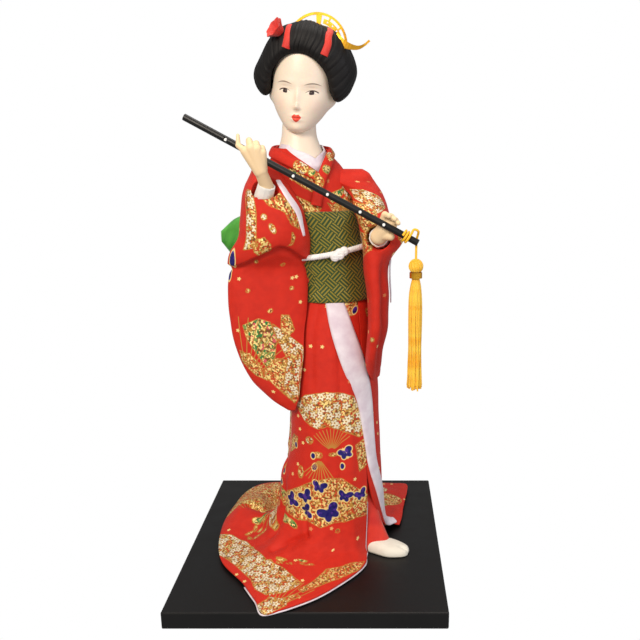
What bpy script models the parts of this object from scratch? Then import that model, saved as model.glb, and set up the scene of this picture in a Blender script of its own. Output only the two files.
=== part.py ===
"""Kimono doll holding a flute, standing on a black lacquered board.

World frame: +Z up, the doll faces -Y, origin at the middle of the board's underside.
Lengths below are millimetres and angles are degrees; MM turns them into metres.
"""

import math

import bmesh
import bpy
from mathutils import Matrix, Vector

MM = 0.001
GAP = 0.35

# Board and the posts that hold the figure up
BOARD_SIDE = 146.0
BOARD_HEIGHT = 9.5
BOARD_BEVEL = 0.7
FLOOR = BOARD_HEIGHT + GAP
POST_RADIUS = 2.0
POST_SOCKET_DEPTH = 6.0
POST_TOP = 190.0
POST_PLACES = {"left": (17.0, 1.0), "right": (6.0, 1.0)}

# Cloth
CLOTH = 1.0
WAIST = 168.0
OBI_TOP = 205.5
OBI_BOTTOM = 157.0
OBI_THICKNESS = 2.0
OBI_LIFT = 0.65
OBI_CORD_RADIUS = 1.55
CHEST_FRONT = -67.0
V_BOTTOM = 224.7
COLLAR_THICKNESS = 1.0
LINING_THICKNESS = 0.8
PIPING_RADIUS = 0.45

# Outer line of the dressed body: height, middle x and y, half width, half depth, turn
BODY_LINE = (
    (50.0, 9.5, 0.0, 29.0, 24.0, 0.0),
    (78.0, 10.5, 0.5, 26.5, 22.0, 4.0),
    (110.0, 10.5, 1.0, 25.5, 21.0, 8.0),
    (138.0, 10.5, 1.0, 23.5, 19.0, 10.0),
    (158.0, 12.5, 1.0, 19.0, 15.0, 14.0),
    (168.0, 12.5, 1.0, 18.0, 14.0, 16.0),
    (185.0, 10.5, 0.5, 18.8, 14.5, 18.0),
    (205.0, 5.5, 0.0, 21.0, 15.0, 20.0),
    (218.0, 0.5, 0.5, 23.5, 14.5, 22.0),
    (228.0, -2.0, 1.0, 20.0, 13.4, 22.0),
    (234.0, -3.5, 1.8, 16.0, 12.8, 22.0),
    (239.0, -4.0, 2.6, 13.2, 12.6, 20.0),
    (244.0, -4.0, 3.4, 12.4, 12.8, 20.0),
)
TORSO_LEVELS = (151.0, 160.0, 172.0, 190.0, 205.0, 216.0)

# Hem of the skirt on the board: direction from HEM_MIDDLE and reach
HEM_MIDDLE = Vector((8.0, 0.0, 0.0))
HEM_REACH = (
    (14.0, 41.5),
    (30.0, 58.0),
    (50.0, 78.0),
    (70.0, 68.0),
    (90.0, 63.0),
    (112.0, 70.0),
    (131.0, 81.0),
    (155.0, 71.0),
    (180.0, 66.0),
    (207.0, 66.5),
    (228.0, 66.5),
    (248.5, 78.5),
    (262.0, 67.0),
    (281.0, 51.0),
    (305.0, 38.5),
    (317.0, 31.0),
)
HEM_SPREAD = ((0.07, 30.0), (0.24, 17.5), (0.5, 13.0), (0.78, 11.6), (1.0, 11.0))
HEM_ROW = 10.0
SKIRT_ROWS = (0.0, 1.0, 2.0, 3.0, 4.0, 5.0, 5.8, 6.6, 7.4, 8.0, 8.6, 9.3, HEM_ROW)
SKIRT_COLUMNS = 38
SLIT_TOP_ROW = 4.4
SLIT_ROWS = 4.0
SLIT_TOP = -10.0
SLIT_FRONT = -44.0
SLIT_BACK = 12.0

# Back bow: its middle, turn, and the reach of each wing
BOW_MIDDLE = Vector((0.6, 26.0, 185.0))
BOW_TURN = 19.0
BOW_WINGS = {"left": -54.0, "right": 46.0}

# Arms: wrist, elbow, and the wire's route from the elbow into the torso
RIGHT_WRIST = Vector((-18.6, -26.5, 219.0))
RIGHT_ELBOW = Vector((-28.0, -15.5, 193.0))
RIGHT_SHOULDER = ((-30.0, -11.0, 190.0), (-30.5, -8.0, 199.0), (-26.0, -4.0, 211.0), (-12.0, 0.0, 216.5))
LEFT_WRIST = Vector((37.0, -26.5, 193.5))
LEFT_ELBOW = Vector((39.5, -3.0, 190.5))
LEFT_SHOULDER = ((38.5, 1.5, 202.0), (32.5, 3.0, 211.0), (23.0, 3.0, 215.5), (12.0, 1.5, 216.5))
HAND_SEAT = 0.4
HAND_ROOT = 0.22
WIRE_RADIUS = 0.9

# Sleeves: height, middle x and y, half length, half thickness, turn
RIGHT_SLEEVE = (
    (97.0, -10.5, -16.5, 2.5, 1.8, 6.0),
    (103.0, -13.0, -16.5, 8.5, 3.2, 6.0),
    (114.0, -17.0, -17.0, 14.5, 4.0, 6.0),
    (132.0, -20.0, -17.5, 19.0, 4.4, 6.0),
    (150.0, -21.5, -17.5, 20.5, 4.8, 7.0),
    (166.0, -22.5, -17.0, 21.0, 5.2, 9.0),
    (177.0, -21.5, -16.2, 19.0, 6.2, 12.0),
    (184.0, -21.0, -16.5, 18.0, 9.0, 13.0),
    (198.0, -20.5, -15.5, 16.5, 10.8, 14.0),
    (211.0, -22.5, -12.5, 13.5, 12.0, 18.0),
    (220.0, -24.0, -7.5, 10.5, 11.0, 22.0),
    (228.0, -22.5, -3.5, 8.0, 8.5, 20.0),
    (231.5, -20.5, -3.0, 5.0, 5.5, 20.0),
)
LEFT_SLEEVE = (
    (112.5, 33.5, -7.0, 4.0, 2.0, 86.0),
    (119.0, 34.0, -7.5, 9.0, 3.4, 86.0),
    (130.0, 35.0, -8.5, 15.0, 4.4, 86.0),
    (146.0, 37.0, -9.0, 18.0, 5.2, 86.0),
    (160.0, 37.0, -9.0, 19.0, 5.6, 86.0),
    (176.0, 36.0, -9.0, 19.5, 6.4, 86.0),
    (190.0, 36.5, -8.5, 19.5, 8.0, 84.0),
    (202.0, 34.0, -3.5, 16.0, 8.2, 80.0),
    (214.0, 31.0, 3.0, 11.0, 8.4, 72.0),
    (222.0, 28.0, 6.0, 8.0, 8.2, 60.0),
    (225.5, 27.5, 7.0, 5.0, 6.0, 60.0),
)
SLEEVE_COLUMNS = 18
SLEEVE_POWER = 2.4

# Head, turned and tilted on the neck
HEAD_MIDDLE = Vector((-2.2, 0.5, 267.0))
HEAD_TURN = -6.0
HEAD_ROLL = 5.5
HEAD_NOD = 3.0
HEAD_COLUMNS = 28
NECK_FOOT = 229.0
NECK_LINE = (
    (NECK_FOOT, -4.0, 0.8, 11.0, 8.6),
    (232.5, -4.2, 1.4, 10.2, 8.5),
    (237.0, -4.0, 2.2, 9.3, 8.4),
    (242.0, -3.6, 3.0, 8.8, 8.4),
    (246.0, -3.2, 3.8, 9.0, 8.8),
)
# In the head's own frame: height, half width, front, back
HEAD_LINE = (
    (-20.6, 3.6, -11.6, -4.0),
    (-19.2, 6.8, -13.2, 1.0),
    (-16.0, 9.8, -13.9, 6.0),
    (-11.0, 12.3, -14.1, 10.0),
    (-5.0, 14.3, -14.2, 13.5),
    (1.0, 15.2, -14.2, 16.0),
    (9.0, 15.4, -14.4, 17.0),
    (17.0, 14.0, -12.8, 16.0),
    (23.0, 10.4, -9.0, 12.2),
    (26.8, 4.2, -3.4, 5.6),
)
FACE_LEVELS = (-18.6, -16.6, -14.6, -12.9, -11.2, -9.4, -7.6, -5.4, -2.4, 1.2, 5.0, 10.0, 16.0, 21.5, 26.0)
SKULL_MIDDLE = Vector((0.0, 1.5, 4.0))
SKULL_CROWN = Vector((0.0, 8.0, 27.0))

# Combed lines of the wig from front to nape on the -X side: share of the way round the
# hairline, then five points from hairline to crown
HAIR_LINES = (
    (0.0, (0.0, -13.0, 17.2), (0.0, -15.2, 21.5), (0.0, -14.0, 28.0), (0.0, -8.5, 32.8), (0.0, -1.5, 33.6)),
    (0.09, (-7.2, -12.6, 14.9), (-8.6, -14.4, 18.6), (-10.2, -12.6, 25.0), (-9.6, -8.0, 30.0), (-6.0, -1.5, 31.6)),
    (0.17, (-12.6, -10.4, 8.6), (-16.0, -11.6, 11.5), (-20.0, -9.0, 18.5), (-17.8, -4.5, 26.0), (-10.0, 1.5, 30.8)),
    (0.25, (-15.0, -6.2, 1.4), (-19.5, -7.2, -3.0), (-25.8, -4.0, 3.0), (-26.2, 0.0, 13.0), (-16.5, 4.5, 25.5)),
    (0.36, (-14.6, 3.0, -2.0), (-18.5, 4.5, -6.0), (-24.0, 8.5, 0.0), (-23.8, 10.0, 11.5), (-15.0, 11.0, 24.0)),
    (0.44, (-9.0, 9.6, -7.5), (-11.0, 12.5, -11.5), (-15.0, 17.5, -6.0), (-15.5, 19.5, 6.5), (-10.0, 16.5, 21.5)),
    (0.5, (0.0, 11.4, -9.5), (0.0, 15.5, -14.0), (0.0, 22.0, -8.0), (0.0, 24.0, 4.5), (0.0, 18.5, 20.5)),
)
HAIR_GATHER = Vector((0.0, 8.0, 30.8))
WIG_COLUMNS = 28
WIG_LEVELS = 8

# Comb in the head's own frame: middle and reach of its arch
COMB_MIDDLE = Vector((6.0, 1.5, 22.5))
COMB_OUTER = 15.6
COMB_INNER = 10.6

# Flute and tassel
FLUTE_LEFT = Vector((-57.2, -28.0, 252.1))
FLUTE_RIGHT = Vector((56.8, -36.0, 191.8))
FLUTE_RADIUS = 1.7
STUD_PLACES = (0.178, 0.464, 0.61, 0.75, 0.852)
TASSEL_CORD_RADIUS = 0.6
TASSEL_PLACE = 0.935
TASSEL_TURNS = 2.25
TASSEL_MIDDLE = Vector((56.0, -34.2, 0.0))
TASSEL_TOP = 183.4
TASSEL_NECK = 177.2
TASSEL_SHOULDER = 173.6
TASSEL_BOTTOM = 115.0
TASSEL_CORD_END = 167.5


# Materials

def material(name, colour, roughness=0.6, metallic=0.0):
    """A Principled material of one linear colour."""
    made = bpy.data.materials.new(name)
    made.use_nodes = True
    shader = made.node_tree.nodes["Principled BSDF"]
    shader.inputs["Base Color"].default_value = (*colour, 1.0)
    shader.inputs["Roughness"].default_value = roughness
    shader.inputs["Metallic"].default_value = metallic
    made.diffuse_color = (*colour, 1.0)
    return made


def make_materials():
    return {
        "lacquer": material("black_lacquer", (0.012, 0.012, 0.013), 0.28),
        "wood": material("bare_wood", (0.55, 0.4, 0.24), 0.7),
        "wire": material("steel_wire", (0.5, 0.5, 0.5), 0.4, 1.0),
        "padding": material("padding", (0.75, 0.7, 0.6), 0.9),
        "skin": material("painted_skin", (0.86, 0.74, 0.6), 0.45),
        "hand": material("moulded_hand", (0.85, 0.62, 0.38), 0.5),
        "hair": material("black_hair", (0.012, 0.01, 0.01), 0.45),
        "brocade": material("red_brocade", (0.72, 0.035, 0.012), 0.5),
        "robe": material("red_robe", (0.76, 0.05, 0.02), 0.6),
        "lining": material("pale_lining", (0.72, 0.62, 0.66), 0.45),
        "white": material("white_cotton", (0.82, 0.8, 0.76), 0.7),
        "obi": material("green_brocade", (0.09, 0.17, 0.03), 0.5),
        "cord": material("white_cord", (0.83, 0.82, 0.8), 0.7),
        "gold": material("gilt_metal", (0.85, 0.55, 0.12), 0.35, 0.8),
        "red": material("red_ribbon", (0.78, 0.03, 0.02), 0.55),
        "black": material("black_flute", (0.015, 0.015, 0.016), 0.3),
        "stud": material("white_stud", (0.9, 0.9, 0.88), 0.3),
        "silk": material("yellow_silk", (0.95, 0.55, 0.02), 0.5),
    }


# Curves through a few values

def along(rows, key):
    """The values of a table's rows at key, on a Catmull-Rom curve through them."""
    last = len(rows) - 1
    k = next((i for i in range(last) if key <= rows[i + 1][0]), last - 1)
    t = (key - rows[k][0]) / (rows[k + 1][0] - rows[k][0])
    t = min(max(t, 0.0), 1.0)
    before, after = rows[max(k - 1, 0)], rows[min(k + 2, last)]
    low, high = rows[k], rows[k + 1]
    span = high[0] - low[0]
    found = []
    for column in range(1, len(low)):
        rise = (high[column] - before[column]) / (high[0] - before[0]) * span
        fall = (after[column] - low[column]) / (after[0] - low[0]) * span
        found.append(
            low[column] * (2 * t**3 - 3 * t**2 + 1)
            + rise * (t**3 - 2 * t**2 + t)
            + high[column] * (3 * t**2 - 2 * t**3)
            + fall * (t**3 - t**2)
        )
    return found


def numbered(points):
    return [(float(i), *p) for i, p in enumerate(points)]


def smooth_points(points, count):
    """count points spread along a Catmull-Rom curve through a few points."""
    rows = numbered(points)
    last = len(points) - 1
    return [Vector(along(rows, last * i / (count - 1))) for i in range(count)]


def ease(t):
    t = min(max(t, 0.0), 1.0)
    return t * t * (3 - 2 * t)


def hill(x, middle, width):
    return math.exp(-(((x - middle) / width) ** 2))


def direction(angle):
    return Vector((math.cos(math.radians(angle)), math.sin(math.radians(angle)), 0.0))


def oval_point(middle, half_x, half_y, turn, z, angle, power=2.0):
    """A point of an oval; a power above 2 makes its corners squarer."""
    flat = direction(angle)
    x = half_x * math.copysign(abs(flat.x) ** (2 / power), flat.x)
    y = half_y * math.copysign(abs(flat.y) ** (2 / power), flat.y)
    east = direction(turn)
    return Vector((middle[0] + x * east.x - y * east.y, middle[1] + x * east.y + y * east.x, z))


def oval(middle, half_x, half_y, turn, z, count, power=2.0):
    step = 360.0 / count
    return [oval_point(middle, half_x, half_y, turn, z, i * step, power) for i in range(count)]


# Meshes

def finish(name, bm, look, smooth_angle=40.0):
    mesh = bpy.data.meshes.new(name)
    bm.to_mesh(mesh)
    bm.free()
    mesh.shade_smooth()
    mesh.set_sharp_from_angle(angle=math.radians(smooth_angle))
    made = bpy.data.objects.new(name, mesh)
    bpy.context.scene.collection.objects.link(made)
    if look is not None:
        made.data.materials.append(look)
    return made


def skin_rings(bm, rings, closed=False):
    """Verts for each ring and the faces between neighbouring rings."""
    rows = [[bm.verts.new(p * MM) for p in ring] for ring in rings]
    pairs = list(zip(rows, rows[1:]))
    if closed:
        pairs.append((rows[-1], rows[0]))
    for low, high in pairs:
        for a, b, c, d in zip(low, low[1:] + low[:1], high[1:] + high[:1], high):
            bm.faces.new((a, b, c, d))
    return rows


def fan_cap(bm, ring):
    middle = bm.verts.new(sum((v.co for v in ring), Vector()) / len(ring))
    for a, b in zip(ring, ring[1:] + ring[:1]):
        bm.faces.new((a, b, middle))


def loft(name, rings, look):
    """A closed solid over rings of equal count, with a fan over each end."""
    bm = bmesh.new()
    rows = skin_rings(bm, rings)
    fan_cap(bm, rows[0])
    fan_cap(bm, rows[-1])
    bmesh.ops.recalc_face_normals(bm, faces=bm.faces)
    return finish(name, bm, look)


def flat_loft(name, rings, look):
    """A closed solid over flat rings, with one face over each end."""
    bm = bmesh.new()
    rows = skin_rings(bm, rings)
    bm.faces.new(rows[0])
    bm.faces.new(rows[-1])
    bmesh.ops.recalc_face_normals(bm, faces=bm.faces)
    return finish(name, bm, look)


def wall(name, outer, inner, look):
    """A closed wall round a ring: outer rings going up, then inner rings coming down."""
    bm = bmesh.new()
    skin_rings(bm, list(outer) + list(reversed(inner)), closed=True)
    bmesh.ops.recalc_face_normals(bm, faces=bm.faces)
    return finish(name, bm, look)


def rod(name, start, end, radius, look, end_radius=None, sides=16):
    """A round bar between two points, with its object turned along it."""
    start, end = Vector(start), Vector(end)
    bm = bmesh.new()
    bmesh.ops.create_cone(
        bm,
        cap_ends=True,
        segments=sides,
        radius1=radius * MM,
        radius2=(radius if end_radius is None else end_radius) * MM,
        depth=(end - start).length * MM,
    )
    made = finish(name, bm, look)
    made.location = (start + end) / 2 * MM
    made.rotation_mode = "QUATERNION"
    made.rotation_quaternion = (end - start).to_track_quat("Z", "Y")
    return made


def sweep(name, points, radius, look, sides=8, closed=False):
    """A round bar along points, turned smoothly from each ring to the next."""
    last = len(points) - 1
    side, rings = None, []
    for i, p in enumerate(points):
        before = points[i - 1] if closed or i else p
        after = points[(i + 1) % len(points)] if closed or i < last else p
        tangent = (after - before).normalized()
        side = tangent.orthogonal() if side is None else side - tangent * side.dot(tangent)
        side.normalize()
        across = tangent.cross(side)
        angles = [2 * math.pi * k / sides for k in range(sides)]
        rings.append([p + (side * math.cos(a) + across * math.sin(a)) * radius for a in angles])
    bm = bmesh.new()
    rows = skin_rings(bm, rings, closed)
    if not closed:
        bm.faces.new(rows[0])
        bm.faces.new(rows[-1])
    bmesh.ops.recalc_face_normals(bm, faces=bm.faces)
    return finish(name, bm, look, 60.0)


def ball(name, middle, radii, look):
    """A smooth ellipsoid with its object at its middle."""
    bm = bmesh.new()
    bmesh.ops.create_uvsphere(bm, u_segments=10, v_segments=6, radius=MM)
    bmesh.ops.scale(bm, vec=Vector(radii), verts=bm.verts)
    made = finish(name, bm, look, 180.0)
    made.location = middle * MM
    return made


def boolean(target, other, operation="DIFFERENCE"):
    step = target.modifiers.new(other.name, "BOOLEAN")
    step.operation = operation
    step.object = other
    other.hide_render = True
    other.display_type = "WIRE"


def surface_sides(surface, grain, u, v):
    """A surface's two directions and its outward one; a negative second grain flips it."""
    du, dv = grain[0], abs(grain[1])
    along_u = (surface(u + du, v) - surface(u - du, v)) / (2 * du)
    along_v = (surface(u, v + dv) - surface(u, v - dv)) / (2 * dv)
    return along_u, along_v, along_u.cross(along_v).normalized() * math.copysign(1.0, grain[1])


def band_on(name, look, surface, grain, path, lift, thickness, steps, across=3):
    """A strip that follows a surface: path rows are (u, v, width), lift is its clearance."""
    rows, last = numbered(path), len(path) - 1
    rings = []
    for i in range(steps + 1):
        u, v, width = along(rows, last * i / steps)
        u0, v0, _ = along(rows, max(i - 0.5, 0.0) * last / steps)
        u1, v1, _ = along(rows, min(i + 0.5, steps) * last / steps)
        along_u, along_v, out = surface_sides(surface, grain, u, v)
        side = (surface(u1, v1) - surface(u0, v0)).normalized().cross(out)
        uu, uv, vv = along_u.dot(along_u), along_u.dot(along_v), along_v.dot(along_v)
        su, sv = side.dot(along_u), side.dot(along_v)
        area = uu * vv - uv * uv
        shift_u, shift_v = (su * vv - sv * uv) / area, (sv * uu - su * uv) / area
        outer, inner = [], []
        for k in range(across + 1):
            away = (k / across - 0.5) * width
            here = (u + shift_u * away, v + shift_v * away)
            up = surface_sides(surface, grain, *here)[2]
            outer.append(surface(*here) + up * (lift + thickness))
            inner.append(surface(*here) + up * lift)
        rings.append(outer + list(reversed(inner)))
    return flat_loft(name, rings, look)


# The dressed body's surface

def body_point(theta, z, lift=0.0):
    """A point on the body line at a height, in a direction about its middle."""
    x, y, a, b, turn = along(BODY_LINE, z)
    local = direction(theta - turn)
    a, b = a + lift, b + lift
    reach = a * b / math.hypot(b * local.x, a * local.y)
    return Vector((x, y, z)) + direction(theta) * reach


def body_ring(z, lift, count=28):
    return [body_point(360.0 * i / count, z, lift) for i in range(count)]


def neckline(theta):
    """Height of the bodice's edge: a V at the chest that climbs to the nape."""
    away = abs((theta - CHEST_FRONT + 180.0) % 360.0 - 180.0)
    return V_BOTTOM + 12.6 * min(away / 62.0, 1.0) + 2.6 * ease((away - 62.0) / 118.0)


def under_neckline(theta):
    """The under collar's edge, which shows most in the V."""
    away = abs((theta - CHEST_FRONT + 180.0) % 360.0 - 180.0)
    return neckline(theta) + 2.0 + 5.6 * (1.0 - ease(away / 70.0))


# The skirt's surface

def hem_reach(theta):
    rows = [(a - 360.0, r) for a, r in HEM_REACH[-2:]] + list(HEM_REACH)
    rows += [(a + 360.0, r) for a, r in HEM_REACH[:2]]
    return along(rows, theta)[0]


def pool_height(theta, share):
    """Height of the folds in the cloth that lies on the board."""
    left_fold = 13.0 * hill(theta, 158.0, 17.0) * hill(share, 0.66, 0.17)
    back_fold = 5.0 * hill(theta, 90.0, 20.0) * hill(share, 0.6, 0.2)
    ripple = 0.9 * (1.0 - math.cos(math.radians(theta) * 7.0)) * math.sin(math.pi * share)
    return left_fold + back_fold + ripple


def skirt_line(theta):
    """Control points of the skirt in one direction, waist to hem."""
    points = [body_point(theta, z) for z in (WAIST, 158.0, 138.0, 110.0, 78.0, 50.0)]
    hem = HEM_MIDDLE + direction(theta) * hem_reach(theta)
    for share, z in HEM_SPREAD:
        flat = points[5].lerp(hem, share)
        points.append(Vector((flat.x, flat.y, z + pool_height(theta, share))))
    return numbered(points)


def skirt_point(theta, row):
    """A point on the skirt: direction, and row number counted from the waist."""
    return Vector(along(skirt_line(theta % 360.0), row))


def slit_edges(row):
    share = ease((row - SLIT_TOP_ROW) / SLIT_ROWS)
    return (
        SLIT_TOP + (SLIT_BACK - SLIT_TOP) * share,
        360.0 + SLIT_TOP + (SLIT_FRONT - SLIT_TOP) * share,
    )


def make_skirt(looks):
    """The long skirt and its train, open down the front right."""
    bm = bmesh.new()
    grid = []
    for row in SKIRT_ROWS:
        start, stop = slit_edges(row)
        angles = [start + (stop - start) * i / SKIRT_COLUMNS for i in range(SKIRT_COLUMNS + 1)]
        grid.append([bm.verts.new(skirt_point(angle, row) * MM) for angle in angles])
    for low, high in zip(grid, grid[1:]):
        for i in range(SKIRT_COLUMNS):
            bm.faces.new((low[i], high[i], high[i + 1], low[i + 1]))
    bmesh.ops.remove_doubles(bm, verts=bm.verts, dist=0.01 * MM)
    skirt = finish("kimono_skirt", bm, looks["brocade"])
    cloth = skirt.modifiers.new("cloth", "SOLIDIFY")
    cloth.thickness = CLOTH * MM
    cloth.offset = -1.0


def make_lining_band(looks):
    """The front panel's edge, turned back from the obi to the board to show its lining."""
    path = (
        (-88.0, 0.95, 8.8),
        (-69.0, 2.1, 11.5),
        (-50.0, 2.9, 12.5),
        (-31.0, 3.5, 10.5),
        (-13.0, 4.2, 8.4),
        (-3.0, 5.0, 7.4),
        (6.0, 6.2, 7.0),
        (12.0, 7.5, 6.5),
        (17.0, 8.8, 4.5),
    )
    lift = GAP + 0.5
    band = band_on("front_lining_band", looks["lining"], skirt_point, (0.5, -0.03), path, lift, CLOTH, 22)
    levels = (OBI_BOTTOM - GAP, WAIST)
    boolean(band, loft("cut_obi_foot", [body_ring(z, 5.0) for z in levels], None))


def make_piping(looks):
    """The rolled white edge of the lining, down the slit and along the front hem to the tip."""
    slit_top, hem_start, hem_stop = 5.4, 317.0, 232.0
    spots = []
    for i in range(9):
        row = slit_top + (HEM_ROW - slit_top) * i / 8
        spots.append(skirt_point(slit_edges(row)[1] + 0.8, row))
    for i in range(1, 16):
        spots.append(skirt_point(hem_start + (hem_stop - hem_start) * i / 15, HEM_ROW))
    lifted = []
    for p in spots:
        out = Vector((p.x - HEM_MIDDLE.x, p.y - HEM_MIDDLE.y, 0.0)).normalized()
        moved = p + out * (GAP + PIPING_RADIUS)
        moved.z = max(p.z - CLOTH / 2, FLOOR + PIPING_RADIUS)
        lifted.append(moved)
    sweep("hem_piping", smooth_points(lifted, 36), PIPING_RADIUS, looks["lining"], 5)


# Pieces that stand on or in the board

def make_board(looks):
    bm = bmesh.new()
    bmesh.ops.create_cube(bm, size=1.0)
    size = Vector((BOARD_SIDE, BOARD_SIDE, BOARD_HEIGHT)) * MM
    bmesh.ops.scale(bm, vec=size, verts=bm.verts)
    board = finish("base_board", bm, looks["lacquer"], 30.0)
    board.location = (0.0, 0.0, BOARD_HEIGHT / 2 * MM)
    edge = board.modifiers.new("edge", "BEVEL")
    edge.width = BOARD_BEVEL * MM
    edge.segments = 2
    return board


def make_posts(looks, board):
    """Two wooden posts, seated in blind holes in the board; gives back their cutters."""
    foot = BOARD_HEIGHT - POST_SOCKET_DEPTH
    cutters = []
    for side, (x, y) in POST_PLACES.items():
        rod(f"post_{side}", (x, y, foot + GAP), (x, y, POST_TOP), POST_RADIUS, looks["wood"], sides=14)
        low, high = (x, y, foot), (x, y, POST_TOP + GAP)
        cutter = rod(f"cut_post_{side}", low, high, POST_RADIUS + GAP, None, sides=14)
        boolean(board, cutter)
        cutters.append(cutter)
    return cutters


def foot_rings(grow):
    """Cross-sections of a split-toe sock from heel to toe, flat on the board."""
    heel, toe = Vector((27.0, -9.0, FLOOR)), Vector((54.0, -19.5, FLOOR))
    run = (toe - heel).normalized()
    side = Vector((-run.y, run.x, 0.0))
    sections = (
        (0.0, 2.6, 5.0),
        (0.1, 4.2, 8.0),
        (0.35, 4.6, 8.5),
        (0.62, 5.6, 6.6),
        (0.85, 6.0, 5.0),
        (0.96, 4.6, 3.8),
        (1.0, 2.6, 2.4),
    )
    rings = []
    for share, half, height in sections:
        middle = heel.lerp(toe, share) + run * (grow * (2 * share - 1))
        ring = []
        for i in range(14):
            flat = direction(360.0 * i / 14)
            up = (height + grow) * max(flat.y, 0.0) ** 0.8 - grow * (flat.y < -0.1)
            wide = (half + grow) * math.copysign(abs(flat.x) ** 0.75, flat.x)
            ring.append(middle + side * wide + Vector((0.0, 0.0, up)))
        rings.append(ring)
    return rings


def make_foot_and_robe(looks, post_cutters):
    """The sock foot, and the padded under robe that stands round it."""
    loft("foot_left", foot_rings(0.0), looks["white"])
    count = 24
    rings = [body_ring(z, -CLOTH - 1.4, count) for z in (150.0, 138.0, 110.0, 78.0, 50.0)]
    for z, bulge in ((30.0, 0.6), (18.0, 3.5), (FLOOR, 7.5)):
        ring = []
        for i in range(count):
            theta = 360.0 * i / count
            out = bulge * hill((theta + 180.0) % 360.0 - 180.0, -18.0, 18.0)
            ring.append(body_point(theta, 50.0, -CLOTH - 2.2 + out))
        rings.append([Vector((p.x, p.y, z)) for p in ring])
    robe = loft("under_robe", rings, looks["robe"])
    boolean(robe, loft("cut_foot", foot_rings(GAP), None))
    for post in post_cutters:
        boolean(robe, post)


# Body and upper garments

def make_torso(looks, post_cutters):
    """The stuffed torso inside the clothes, drilled for the posts."""
    rings = [body_ring(z, -CLOTH - 0.75, 26) for z in TORSO_LEVELS]
    rings.append(body_ring(222.0, -3.4, 26))
    rings.append(body_ring(NECK_FOOT - GAP, -4.0, 26))
    torso = loft("torso_padding", rings, looks["padding"])
    for post in post_cutters:
        boolean(torso, post)
    return torso


def wall_to_edge(name, look, foot, edge, outer_lift, thickness, shares):
    """A wall round the body from a level foot up to an edge that varies."""
    outer, inner = [], []
    for share in shares:
        outside, inside = [], []
        for i in range(30):
            theta = CHEST_FRONT + 12.0 * i
            z = foot + (edge(theta) - foot) * share
            outside.append(body_point(theta, z, outer_lift))
            inside.append(body_point(theta, z, outer_lift - thickness))
        outer.append(outside)
        inner.append(inside)
    return wall(name, outer, inner, look)


def make_bodice(looks):
    """The kimono's upper body, and the under collar inside its V."""
    shares = (0.0, 0.25, 0.5, 0.7, 0.82, 0.91, 1.0)
    bodice = wall_to_edge("kimono_bodice", looks["brocade"], WAIST + 0.5, neckline, 0.0, CLOTH, shares)
    lift = -CLOTH - GAP - 0.5
    wall_to_edge("under_collar", looks["lining"], 221.0, under_neckline, lift, 0.7, (0.0, 0.35, 0.7, 1.0))
    return bodice


def make_collar(looks):
    """The kimono's collar band, wrapped left over right down to the obi."""
    path = (
        (-101.0, 208.5, 5.4),
        (-91.0, 213.0, 5.4),
        (-78.0, 218.8, 5.4),
        (-62.0, 224.0, 5.4),
        (-38.0, 229.5, 5.4),
        (-10.0, 234.2, 5.2),
        (30.0, 236.0, 5.0),
        (90.0, 237.2, 5.0),
        (140.0, 237.0, 5.0),
        (180.0, 236.0, 5.2),
        (215.0, 234.0, 5.4),
        (240.0, 230.4, 5.4),
        (262.0, 226.0, 5.2),
        (273.0, 223.6, 4.6),
    )
    lift = GAP + 0.5
    band_on("kimono_collar", looks["brocade"], body_point, (0.5, 0.3), path, lift, COLLAR_THICKNESS, 28)


def make_obi(looks):
    levels = (OBI_BOTTOM, 168.0, 182.0, 194.0, OBI_TOP)
    outer = [body_ring(z, OBI_LIFT + OBI_THICKNESS) for z in levels]
    inner = [body_ring(z, OBI_LIFT) for z in levels]
    wall("obi", outer, inner, looks["obi"])


def make_obi_cord(looks):
    """A round cord tied round the obi, with its knot at the front; gives back its cutter."""
    lift = OBI_LIFT + OBI_THICKNESS + GAP + OBI_CORD_RADIUS
    loop = []
    for angle in range(0, 360, 12):
        level = 184.0 + 3.5 * math.sin(math.radians(angle + 78))
        loop.append(body_point(angle, level, lift))
    band = sweep("obi_cord", loop, OBI_CORD_RADIUS, looks["cord"], 6, closed=True)
    lumps = (
        (-72.0, 183.8, (3.4, 2.6, 3.2)),
        (-82.5, 181.8, (2.6, 1.9, 2.3)),
        (-61.0, 185.6, (2.6, 1.9, 2.3)),
    )
    for number, (angle, level, radii) in enumerate(lumps, 1):
        lump = ball(f"cut_knot_{number}", body_point(angle, level, lift + 1.1), radii, looks["cord"])
        boolean(band, lump, "UNION")
    return sweep("cut_obi_cord", loop, OBI_CORD_RADIUS + GAP, None, 6, closed=True)


def body_block(name):
    """A solid of the clothed body with its obi, for cutting what leans on it."""
    rings = [body_ring(z, 1.2, 40) for z in (85.0, 110.0, 138.0, 154.0)]
    lift = OBI_LIFT + OBI_THICKNESS + GAP
    levels = (156.0, 168.0, 182.0, 194.0, 206.0, 214.0, 222.0, 228.0, 234.0, 240.0)
    rings += [body_ring(z, lift, 40) for z in levels]
    return loft(name, rings, None)


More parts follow.
